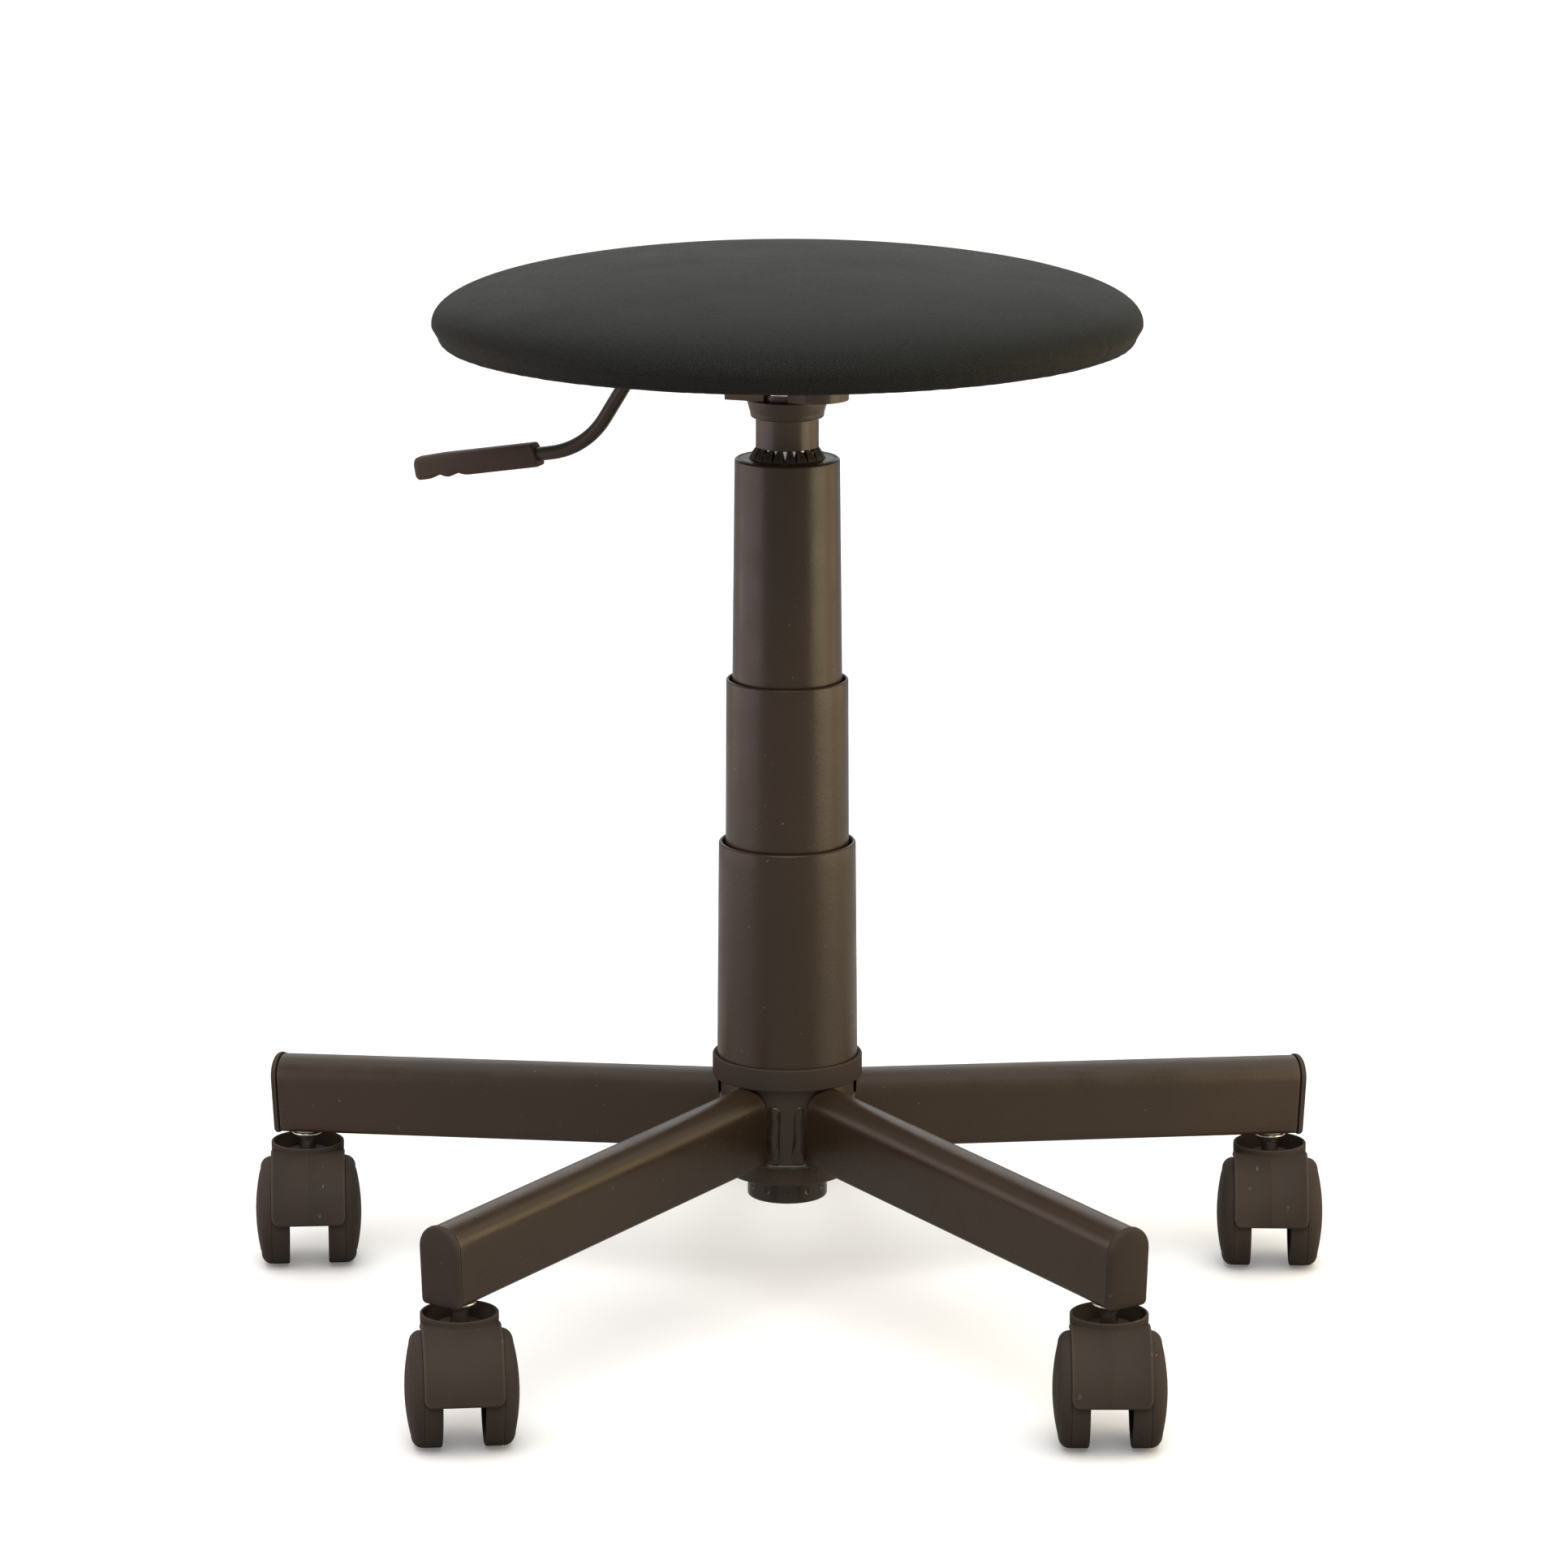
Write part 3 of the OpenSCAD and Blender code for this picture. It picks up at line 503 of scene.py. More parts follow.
def column_parts():
    """The cup under the hub with its stake marks, the collar ring and the three covers."""
    low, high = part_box("bottom_cup")
    r, wall = high.x, 2.2 * MM
    side = [(r, mix(low.z + 1.2 * MM, 61.5 * MM, k / 20)) for k in range(21)]
    cup = (fillet([(5 * MM, 59 * MM), (r - wall, 59 * MM, 1 * MM), (r - wall, low.z, 0.6 * MM)])
           + arc(r - 1.2 * MM, low.z + 1.2 * MM, 1.2 * MM, -90, -15, 5) + side
           + [(r, 62 * MM), (17.9 * MM, 62 * MM), (17.9 * MM, 66 * MM), (5 * MM, 66 * MM)])
    marks = 12

    def staked(p):
        turn = math.atan2(p.y, p.x) * marks / TURN
        across = (turn - round(turn)) * TURN / marks * r
        near = (across ** 2 + (p.z - 56.6 * MM) ** 2) / (1.0 * MM) ** 2
        depth = 0.55 * MM * math.exp(-near ** 2) if math.hypot(p.x, p.y) > r - 0.3 * MM else 0
        return Vector((p.x, p.y, 0)) * (1 - depth / r) + Vector((0, 0, p.z))

    # The cup takes the darker paint copy: painted shade under the hub.
    turned("hub_bottom_cup", cup, WELD_AND_SHADE_PAINT, "brown_paint", "base", "bottom_cup", 288, staked)

    low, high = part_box("collar_ring")
    r, wall, floor = high.x, 1.8 * MM, 110.4 * MM
    inner = r - wall - 0.2 * MM
    ring = fillet([(TUBE_R, low.z), (r, low.z, 1.0 * MM), (r, mix(low.z, high.z, 0.4)),
                   (r, high.z, 0.8 * MM), (r - wall, high.z, 0.5 * MM), (inner, high.z - 2 * MM, 0.3 * MM),
                   (inner, floor), (TUBE_R, floor)])
    turned("dished_collar", ring, PLASTIC, "brown_plastic", "base", "collar_ring")

    covers = (("lower_cover", "base", 30.75 * MM, 2.0 * MM),
              ("middle_cover", "middle", 27.3 * MM, 1.6 * MM))
    for name, body, top_r, wall in covers:
        low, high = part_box(name)
        foot_r = high.x
        taper = [(mix(foot_r, top_r, k / 12), mix(low.z, high.z, k / 12)) for k in range(1, 12)]
        outline = ([(foot_r - wall, low.z + 0.6 * MM), (foot_r - wall * 0.7, low.z),
                    (foot_r + 0.05 * MM, low.z), (foot_r + 0.25 * MM, low.z + 0.5 * MM),
                    (foot_r + 0.18 * MM, low.z + 2.2 * MM), (foot_r, low.z + 6 * MM)] + taper
                   + arc(top_r - 0.55 * wall, high.z - 0.55 * wall, 0.55 * wall, 0, 100, 6)
                   + [(top_r - wall, high.z - 0.5 * wall), (top_r - wall, high.z - 4 * MM)])
        turned(name + "_shell", outline, PAINT, "brown_paint", body, name, 192)

    low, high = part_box("upper_cover")
    foot_r, top_r, wall, hole, edge = high.x, 23.4 * MM, 1.4 * MM, 16.7 * MM, 1.15 * MM
    taper = [(mix(foot_r, top_r, k / 16), mix(low.z, high.z - edge, k / 16)) for k in range(1, 16)]
    outline = ([(foot_r - wall, low.z), (foot_r, low.z)] + taper
               + arc(top_r - edge, high.z - edge, edge, 0, 90, 6)
               + [(top_r - 1.5 * MM, high.z), (top_r - 1.7 * MM, high.z - 0.35 * MM),
                  (top_r - 2.1 * MM, high.z - 0.35 * MM), (top_r - 2.4 * MM, high.z),
                  (hole + 0.3 * MM, high.z), (hole, high.z - 0.3 * MM), (hole, high.z - wall),
                  (top_r - wall, high.z - wall)])
    turned("upper_cover_shell", outline, PAINT, "brown_paint", "upper", "upper_cover", 192)


def finger_crown():
    """Ring of springy fingers that lean in to the cylinder, wide at the root and narrow at the tip."""
    bm = bmesh.new()
    low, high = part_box("cover_crown")
    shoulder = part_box("upper_cover")[1].z
    bore, root_r, tip_r, count = 13.15 * MM, 16.6 * MM, 13.95 * MM, 19
    inner, top, step = bore + 1.4 * MM, shoulder + 0.3 * MM, shoulder - 1 * MM
    root = [(bore, low.z), (root_r, low.z), (root_r, top), (inner, top), (inner, step), (bore, step)]
    lathe(bm, root, 6 * count)
    for k in range(count):
        spin = Matrix.Rotation(TURN * (k + 0.5) / count, 4, "Z")
        rings = []
        for s in range(6):
            t = s / 5
            r = mix(root_r, tip_r, t) + 0.25 * MM * math.sin(math.pi * t)
            half = mix(2.55 * MM, 1.25 * MM, t)
            z = mix(shoulder + 0.1 * MM, high.z, t)
            thick = mix(1.3 * MM, 0.75 * MM, t)
            rings.append([(r, -half, z), (r + 0.12 * MM, 0, z), (r, half, z),
                          (r - thick, half * 0.9, z), (r - thick, -half * 0.9, z)])
        loft(bm, rings, spin)
    return piece(bm, "cover_finger_crown", DARK, "dark_plastic", "upper", "cover_crown", angle=30)


def cylinder_parts():
    """Painted sleeve on the gas cylinder and the flared socket that the plate is welded to."""
    low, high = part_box("cylinder_sleeve")
    r = high.x
    sleeve = fillet([(13 * MM, low.z), (r + 0.12 * MM, low.z, 0.45 * MM), (r, low.z + 2.2 * MM, 1 * MM),
                     (r, high.z), (13 * MM, high.z)])
    turned("cylinder_top_sleeve", sleeve, PAINT, "brown_paint", "seat", "cylinder_sleeve")
    low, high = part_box("socket_cup")
    foot, brim = 16.2 * MM, high.x
    cup = fillet([(14 * MM, low.z), (foot, low.z, 1.1 * MM), (foot + 0.35 * MM, low.z + 2.6 * MM, 3 * MM),
                  (brim, 416.4 * MM, 0.5 * MM), (brim - 1.4 * MM, 416.6 * MM, 0.3 * MM),
                  (15.6 * MM, 412.5 * MM), (14 * MM, 412 * MM)])
    turned("column_socket", cup, PAINT, "brown_paint", "seat", "socket_cup")


# ---- Casters ----

WHEEL_R, TRAIL = 25 * MM, 13 * MM
HOOD_HALF, HOOD_IN, HOOD_OUT, HOOD_LOW, HOOD_CORNER = 17.1 * MM, 25.8 * MM, 27.5 * MM, 24.7 * MM, 4.2 * MM
NECK_R, NECK_WALL, NECK_Z = 16.85 * MM, 1.25 * MM, 40 * MM
WEB_HALF, BOSS_R = 8.6 * MM, 7 * MM
STEM_BORE, STEM_BOSS_R = 4.1 * MM, 9.6 * MM


def caster_place(i):
    """Frame of caster i: stem axis on z, axle along x and trailing towards -y."""
    axle = Vector(JOINTS[f"left_wheel_spin_{i}"]["axis"])
    facing = Matrix.Rotation(math.atan2(axle.y, axle.x), 4, "Z")
    return Matrix.Translation((stem(i).x, stem(i).y, 0)) @ facing


def hood_section(half, inset):
    """Cross-section of the hood's skin: (x, radius) points, with a raised rim and a parting line."""
    inner, outer = HOOD_IN + inset, HOOD_OUT - inset
    rim, lip = 1.1 * MM, 0.18 * MM * (1 - inset / MM)
    right = [(half - 0.4 * MM, inner), (half, inner + 0.4 * MM), (half, outer - 0.35 * MM),
             (half - 0.12 * MM, outer - 0.05 * MM),
             (half - 0.4 * MM, outer + lip), (half - rim, outer + lip),
             (half - rim - 0.35 * MM, outer), (0.35 * MM, outer), (0.12 * MM, outer + 0.07 * MM)]
    left = [(-x, r) for x, r in reversed(right)]
    return right + left


def hood_skin(bm, place):
    """The arched skin over the wheels, with rounded lower corners."""
    start = math.asin((HOOD_LOW - WHEEL_R) / HOOD_OUT)
    end = math.acos(-TRAIL / mix(HOOD_IN, HOOD_OUT, 0.5))
    run = HOOD_OUT * (end - start)
    fine = [HOOD_CORNER * (1 - math.cos(math.radians(90 * k / 8))) for k in range(9)]
    rest = [mix(HOOD_CORNER, run, k / 40) for k in range(1, 41)]
    rings = []
    for s in fine + rest:
        bend = max(HOOD_CORNER - s, 0)
        half = HOOD_HALF - HOOD_CORNER + math.sqrt(HOOD_CORNER ** 2 - bend ** 2)
        inset = 0.45 * MM * max(1 - s / (0.8 * MM), 0)
        turn = start + s / HOOD_OUT
        rings.append([(x, -TRAIL - r * math.cos(turn), WHEEL_R + r * math.sin(turn))
                      for x, r in hood_section(half, inset)])
    loft(bm, rings, place)


def over_wheel(y, r, least):
    """Height of a cylinder of radius r about the axle at y, and never under least."""
    return max(WHEEL_R + math.sqrt(max(r ** 2 - (y + TRAIL) ** 2, 0)), least)


def hood_neck(bm, place):
    """Neck ring with a rounded lip, its sunken floor and the boss for the stem."""
    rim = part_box("caster_hood_1")[1].z

    def on_hood(p):
        low = over_wheel(p.y, HOOD_IN + 0.4 * MM, NECK_Z)
        return Vector((p.x, p.y, low)) if p.z < NECK_Z + 1 * MM else p

    ring = [(NECK_R - NECK_WALL, NECK_Z), (NECK_R - 0.05 * MM, NECK_Z), (NECK_R - 0.05 * MM, rim - 4 * MM),
            (NECK_R, rim - 3.4 * MM)]
    ring += arc(NECK_R - 0.6 * MM, rim - 0.6 * MM, 0.6 * MM, 0, 90, 4)
    ring += arc(NECK_R - NECK_WALL + 0.5 * MM, rim - 0.5 * MM, 0.5 * MM, 90, 180, 3)
    lathe(bm, ring, 96, place, on_hood)

    def floor(p):
        top = over_wheel(p.y, HOOD_OUT - 0.3 * MM, 46 * MM)
        return Vector((p.x, p.y, top - (1.2 * MM if p.z < 0 else 0)))

    inner = NECK_R - NECK_WALL + 0.2 * MM
    lathe(bm, [(STEM_BORE, 0)] + [(inner * k / 8, 0) for k in range(3, 9)]
          + [(inner * k / 8, -1) for k in range(8, 2, -1)] + [(STEM_BORE, -1)], 64, place, floor)
    foot, top = NECK_Z - 10 * MM, 50 * MM
    boss = fillet([(STEM_BORE, foot), (STEM_BOSS_R, foot), (STEM_BOSS_R, top, 0.8 * MM),
                   (STEM_BORE, top, 0.4 * MM)])
    lathe(bm, boss, 48, place)


def hood_web(bm, place):
    """The web between the wheels, from the skin down to the axle boss."""
    r = HOOD_IN + 0.5 * MM
    front = math.degrees(math.asin((HOOD_LOW - WHEEL_R) / r))
    back = math.degrees(math.acos(TRAIL / r))
    under = math.degrees(math.asin((HOOD_LOW - WHEEL_R) / BOSS_R))
    outline = (arc(-TRAIL, WHEEL_R, r, 180 - front, back, 24) + [(0, HOOD_LOW)]
               + arc(-TRAIL, WHEEL_R, BOSS_R, under, -180 - under, 12))
    across = Matrix(((0, 0, 1, 0), (1, 0, 0, 0), (0, 1, 0, 0), (0, 0, 0, 1)))
    prism(bm, outline, -WEB_HALF, WEB_HALF, 0.5 * MM, place @ across)


def caster_hood(i):
    bm = bmesh.new()
    place = caster_place(i)
    hood_skin(bm, place)
    hood_neck(bm, place)
    hood_web(bm, place)
    node = f"caster_hood_{i}"
    return piece(bm, f"caster_fork_{i}", PLASTIC, "brown_plastic", f"caster_{i}", node, angle=42)


def wheel_profile():
    """Half section of a wheel: (radius, distance from the caster's middle)."""
    inside, tread, face, hub_face = 9.05 * MM, 17 * MM, 24.4 * MM, 21.3 * MM
    shoulder, bore, rise, groove = 5 * MM, 3.05 * MM, 2.4 * MM, 0.22 * MM
    dome_r, recess_in, recess_out, recess = WHEEL_R - shoulder, 7 * MM, 21.5 * MM, inside + 3 * MM
    big = (dome_r ** 2 + rise ** 2) / 2 / rise
    edge = math.degrees(math.asin(dome_r / big))
    outline = [(bore, inside), (recess_in, inside), (recess_in, recess), (recess_out, recess),
               (recess_out, inside)]
    outline += arc(WHEEL_R - 0.8 * MM, inside + 0.8 * MM, 0.8 * MM, -90, 0, 4)
    outline += [(WHEEL_R, mix(inside, tread, 0.5)), (WHEEL_R, tread - 0.3 * MM),
                (WHEEL_R - groove, tread - 0.1 * MM), (WHEEL_R - groove, tread + 0.1 * MM),
                (WHEEL_R + 0.03 * MM, tread + 0.35 * MM)]
    outline += arc(dome_r, tread, shoulder, 8, 86, 9)
    outline += [(dome_r - 0.1 * MM, tread + shoulder), (dome_r - 0.35 * MM, tread + shoulder - 0.25 * MM),
                (dome_r - 0.8 * MM, tread + shoulder - 0.2 * MM)]
    outline += [(x, y) for x, y in arc(0, face - big, big, 90 - edge * 0.93, 90, 9)]
    return outline + [(0, hub_face), (bore, hub_face)]


def wheels(i):
    axle = caster_place(i) @ Matrix.Translation((0, -TRAIL, WHEEL_R))
    for side, turn in (("left", -1), ("right", 1)):
        bm = bmesh.new()
        lathe(bm, wheel_profile(), 112, axle @ Matrix.Rotation(turn * math.pi / 2, 4, "Y"))
        body, node = f"{side}_wheel_{i}", f"wheel_{side}_{i}"
        piece(bm, f"caster_{side}_wheel_{i}", PLASTIC, "brown_plastic", body, node)


def caster_stems():
    """Steel stems with their bright rounded collars under the arms."""
    bm = bmesh.new()
    pivot_r, pivot_z, stem_r, stem_z = 3.95 * MM, 28.3 * MM, 5.5 * MM, 82 * MM
    shaft = [(0, pivot_z), (3.6 * MM, pivot_z), (pivot_r, 28.9 * MM), (pivot_r, 57 * MM),
             (6.4 * MM, 57.3 * MM)]
    collar = arc(5.9 * MM, 58.75 * MM, 1.25 * MM, -60, 90, 7)
    top = [(stem_r, 60 * MM), (stem_r, 81.4 * MM), (4.9 * MM, stem_z), (0, stem_z)]
    for i in ARMS:
        lathe(bm, shaft + collar + top, 48, Matrix.Translation((stem(i).x, stem(i).y, 0)))
    return piece(bm, "caster_stem_pins", BRIGHT, "bright_steel", "base", "caster_stems")


# ---- Lever ----

LEVER_TURN = math.radians(160)
LEVER_Z, ROD_R, LEVER_IN, PIVOT = 428 * MM, 3.2 * MM, -8 * MM, 22 * MM
BEND_1_S, BEND_1_R, BEND_1_FALL = 62.9 * MM, 14 * MM, 58.0
BEND_2_S, BEND_2_R, END_FALL = 86.6 * MM, 38 * MM, 9.4
GRIP_START, GRIP_L, GRIP_H, GRIP_W = 6.5 * MM, 60 * MM, 10.8 * MM, 10 * MM
NOTCHES, NOTCH_R = ((39 * MM, 1.25 * MM), (48.3 * MM, 1.5 * MM)), 2.6 * MM
ROOT_ROUND, END_ROUND = 0.9 * MM, 2.6 * MM


def rod_line():
    """The rod's centre line in the lever's plane: (distance from the column axis, height)."""
    def tangent(degrees):
        return Vector((math.cos(math.radians(degrees)), -math.sin(math.radians(degrees))))

    first = arc(BEND_1_S, LEVER_Z - BEND_1_R, BEND_1_R, 90, 90 - BEND_1_FALL, 12)
    way = tangent(BEND_1_FALL)
    second_start = Vector(first[-1]) + way * (BEND_2_S - first[-1][0]) / way.x
    centre = second_start + Vector((-way.y, way.x)) * BEND_2_R
    second = arc(centre.x, centre.y, BEND_2_R, 270 - BEND_1_FALL, 270 - END_FALL, 16)
    end = Vector(second[-1]) + tangent(END_FALL) * (GRIP_START + GRIP_L - 6 * MM)
    return [(LEVER_IN, LEVER_Z)] + first + second + [tuple(end)], Vector(second[-1]), tangent(END_FALL)


def lever_rod(line):
    bm = bmesh.new()
    place = Matrix.Rotation(LEVER_TURN, 4, "Z")
    rings = []
    for k, point in enumerate(line):
        ahead = Vector(line[min(k + 1, len(line) - 1)]) - Vector(line[max(k - 1, 0)])
        fall = math.atan2(ahead.y, ahead.x)
        turns = [TURN * j / 24 for j in range(24)]
        rings.append([(point[0] - ROD_R * math.cos(t) * math.sin(fall), ROD_R * math.sin(t),
                       point[1] + ROD_R * math.cos(t) * math.cos(fall)) for t in turns])
    loft(bm, rings, place)
    lying = place @ Matrix.Translation((PIVOT, 0, LEVER_Z)) @ Matrix.Rotation(math.pi / 2, 4, "X")
    bore, boss_r, half = 2.05 * MM, 5 * MM, 10 * MM
    boss = fillet([(bore, -half), (boss_r, -half, 0.5 * MM), (boss_r, half, 0.5 * MM), (bore, half)])
    lathe(bm, boss, 48, lying)
    return piece(bm, "lever_bar", PAINT, "brown_paint", "lever", "lever_rod")


def lever_grip(start, along):
    """Moulded grip: slanted mouth, two finger scallops and a deeper foot at the outer end."""
    bm = bmesh.new()
    up = Vector((-along.y, along.x))
    place = Matrix.Rotation(LEVER_TURN, 4, "Z")
    length, slant, corner = GRIP_L, 1.6 * MM, 2.3 * MM
    ends = [0, 0.15 * MM, 0.5 * MM, 1.0 * MM, 1.8 * MM]
    soft = [length - END_ROUND * (1 - math.sin(math.radians(90 * k / 7))) for k in range(8)]
    stops = ends + [mix(3 * MM, length - 3.2 * MM, k / 60) for k in range(61)] + soft
    rings = []
    for s in stops:
        scallops = sum(math.exp(-((s - at) / NOTCH_R) ** 2) * depth for at, depth in NOTCHES)
        root = ROOT_ROUND - min(s, ROOT_ROUND)
        shrink = (ROOT_ROUND - math.sqrt(ROOT_ROUND ** 2 - root ** 2)) * 0.6
        out = max(s - (length - END_ROUND), 0)
        shrink += END_ROUND - math.sqrt(max(END_ROUND ** 2 - out ** 2, (0.55 * MM) ** 2))
        top = GRIP_H / 2 - shrink - 0.5 * MM * smooth((s - 44 * MM) / (16 * MM))
        low = -GRIP_H / 2 + shrink + scallops
        half = GRIP_W / 2 - shrink
        r = min(corner, half * 0.9)
        ring = fillet([(-half, low, r * 0.7), (half, low, r * 0.7), (half, top, r), (-half, top, r)], 4)
        lean = slant * (1 - smooth(s / (12 * MM)))
        points = []
        for y, z in ring:
            reach = GRIP_START + s + lean * (z / GRIP_H)
            flat = start + along * reach + up * z
            points.append((flat.x, y, flat.y))
        rings.append(points)
    loft(bm, rings, place)
    return piece(bm, "lever_hand_grip", LIGHTENED_GRIP, "brown_plastic", "lever", "lever_grip", angle=50)


# ---- Seat ----

SEAT_LOW, SEAT_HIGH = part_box("seat_cover")
SEAT_R = SEAT_HIGH.x
WAIST_Z = SEAT_LOW.z + 7.1 * MM
EDGE_R, WRAP_R, EDGE_ROUND, SKIN = 153.9 * MM, 126 * MM, 2.4 * MM, 1.2 * MM
STAPLES = 24
CROWN_ACROSS, CROWN_UP = 1.715, 2.4765
SIM_CELL, SIM_CAP, SIM_FRAMES = 5 * MM, 3 * MM, 20
TAUT = 0.04


def crown(r, height, steps):
    """Profile of the crown from the axis to the widest line: (radius, height) points."""
    points = []
    for k in range(steps + 1):
        t = math.pi / 2 * k / steps
        across = r * abs(math.sin(t)) ** (2 / CROWN_ACROSS)
        points.append((across, WAIST_Z + height * abs(math.cos(t)) ** (2 / CROWN_UP)))
    return points


def seat_outline(shrink=0.0):
    """Outer profile of the upholstered seat from its top down to the hem."""
    edge = EDGE_R - shrink
    under = arc(edge - EDGE_ROUND, SEAT_LOW.z + EDGE_ROUND, EDGE_ROUND, 0, -90, 6)
    side = crown(SEAT_R - shrink, SEAT_HIGH.z - WAIST_Z - shrink, 56)
    return side + under + [(mix(edge - EDGE_ROUND, WRAP_R, k / 8), SEAT_LOW.z) for k in range(1, 9)]


def simulated_tension():
    """Inflates a slightly small cover that is held at its staples: (start point, move) pairs."""
    bm = bmesh.new()
    lathe(bm, seat_outline(1.0 * MM) + [(0, SEAT_LOW.z)], 160)
    bmesh.ops.recalc_face_normals(bm, faces=bm.faces)
    mesh = bpy.data.meshes.new("tension")
    bm.to_mesh(mesh)
    bm.free()
    body = bpy.data.objects.new("tension", mesh)
    scene = bpy.context.scene
    scene.collection.objects.link(body)
    bpy.context.view_layer.objects.active = body
    remesh = body.modifiers.new("remesh", "REMESH")
    remesh.mode, remesh.voxel_size = "VOXEL", SIM_CELL
    bpy.ops.object.modifier_apply(modifier=remesh.name)
    start = [v.co.copy() for v in body.data.vertices]
    held = body.vertex_groups.new(name="held")
    for v in body.data.vertices:
        turn = math.atan2(v.co.y, v.co.x) * STAPLES / TURN
        near = abs(turn - round(turn)) < 0.22
        under = v.co.z < SEAT_LOW.z + 1.5 * MM
        inner = math.hypot(v.co.x, v.co.y) < WRAP_R
        if under and (inner or near):
            held.add([v.index], 1.0, "REPLACE")
    cloth_modifier = body.modifiers.new("cloth", "CLOTH")
    settings = cloth_modifier.settings
    settings.use_pressure = True
    settings.uniform_pressure_force = 4
    settings.effector_weights.gravity = 0
    settings.vertex_group_mass = held.name
    for frame_number in range(1, SIM_FRAMES + 1):
        scene.frame_set(frame_number)
    bpy.ops.object.modifier_apply(modifier=cloth_modifier.name)
    moves = [v.co - p for v, p in zip(body.data.vertices, start)]
    bpy.data.objects.remove(body)
    scene.frame_set(1)
    return list(zip(start, moves))


def tension_field():
    """A function that gives the cover's move at a point, from the cloth simulation."""
    pairs = simulated_tension()
    tree = kdtree.KDTree(len(pairs))
    for k, (start, _) in enumerate(pairs):
        tree.insert(start, k)
    tree.balance()

    def field(p):
        total, weight = Vector((0, 0, 0)), 0.0
        for _, k, distance in tree.find_n(p, 8):
            share = 1 / (distance + 1.5 * MM)
            total += pairs[k][1] * share
            weight += share
        move = total / weight
        return move.normalized() * min(move.length, SIM_CAP) * TAUT

    return field


def puckers(turn, z):
    """Fine upright gathers in the lower rim, strongest at the front right: a move outward."""
    near_rim = smooth((WAIST_Z + 9 * MM - z) / (12 * MM))
    front = 0.35 + 0.65 * math.exp(-((math.degrees(turn) + 62) / 34) ** 2)
    run = turn * SEAT_R
    fine = rough((run, z * 0.25, 0), 5 * MM, 2) + 0.7 * rough((run, z * 0.4, 0), 3 * MM, 6)
    broad = rough((run, z, 0), 42 * MM, 4)
    return near_rim * front * 0.40 * MM * fine + 0.25 * MM * broad * near_rim


def inner_face(point):
    """The point of the cover's inner face behind an outer one."""
    r, z = point
    inside = max(r - SKIN, 0) if r > 0 else 0
    if z > WAIST_Z:
        return inside, min(z, SEAT_HIGH.z) - SKIN
    return inside, max(z, SEAT_LOW.z + SKIN)


def seat_cover(field):
    """The leathercloth cover: crowned, pulled in under the board, gathered along its rim and hem."""
    steps = 540
    outer = seat_outline()
    profile = outer + [inner_face(point) for point in reversed(outer)]
    bm = bmesh.new()
    lathe(bm, profile, steps)
    bm.verts.ensure_lookup_table()
    first = 0
    for r, _ in profile:
        count = 1 if r < 1e-7 else steps
        row = [bm.verts[k] for k in range(first, first + count)]
        first += count
        if count == 1:
            continue
        moves = [field(v.co) for v in row]
        outs = [Vector((v.co.x, v.co.y, 0)).normalized() for v in row]
        mean_out = sum(move.dot(out) for move, out in zip(moves, outs)) / count
        mean_up = sum(move.z for move in moves) / count
        for v, move, out in zip(row, moves, outs):
            turn = math.atan2(v.co.y, v.co.x)
            hem = smooth((SEAT_LOW.z + 2.5 * MM - v.co.z) / (2 * MM))
            pleat = 0.15 * MM * hem * rough((turn * SEAT_R, 0, 0), 5 * MM, 11)
            v.co += out * (move.dot(out) - mean_out + puckers(turn, v.co.z))
            v.co.z += move.z - mean_up + pleat
    cover = piece(bm, "seat_cushion", LEATHER, "leathercloth", "seat", "seat_cover", angle=70)
    return cover


def foam_pad():
    """The foam under the cover, a little slack at its rim."""
    bm = bmesh.new()
    inset = 3.2 * MM
    low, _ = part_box("seat_foam")
    board_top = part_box("seat_board")[1].z
    side = crown(SEAT_R - inset, SEAT_HIGH.z - WAIST_Z - inset, 40)
    edge, board_edge = EDGE_R - inset, 149.2 * MM
    rim = [(edge, low.z + 1 * MM), (board_edge, low.z + 0.4 * MM), (board_edge, board_top)]
    lathe(bm, side + rim + [(0, board_top)], 128)
    pad = piece(bm, "foam_pad", FOAM, "foam", "seat", "seat_foam")
    return pad


def dust_cloth():
    """Thin cloth stapled under the seat: folded hem, faint pull lines between the staples."""
    _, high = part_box("dust_cloth")
    r, step_in, step_out = high.x, 120 * MM, 125 * MM
    radii = [mix(0, step_in, k / 16) for k in range(17)]
    radii += [mix(step_in, step_out, k / 4) for k in range(1, 5)]
    radii += [mix(step_out, r, k / 10) for k in range(1, 11)]

    def sheet_z(p):
        q = math.hypot(p.x, p.y)
        turn = math.atan2(p.y, p.x)
        base = mix(high.z - 0.2 * MM, SEAT_LOW.z - 0.2 * MM, smooth((q - step_in) / (step_out - step_in)))
        pull = math.cos(turn * STAPLES) * 0.16 * MM * smooth((q - 60 * MM) / (70 * MM))
        ripple = rough((turn * 0.05, q * 0.2, 0), 6 * MM, 3) * 0.2 * MM * smooth(q / (90 * MM))
        hem = -0.25 * MM * smooth((q - (r - 9 * MM)) / (1 * MM))
        side = 0.2 * MM if p.z > 0.5 else -0.2 * MM
        return Vector((p.x, p.y, base - abs(pull) - abs(ripple) + hem + side))

    profile = [(q, 0) for q in radii] + [(q, 1) for q in reversed(radii)]
    bm = bmesh.new()
    lathe(bm, profile, 288, warp=sheet_z)
    made = piece(bm, "underside_cloth", CLOTH, "black_cloth", "seat", "dust_cloth", angle=60)
    return made


# ---- Materials of the CAD nodes that stay as they are ----

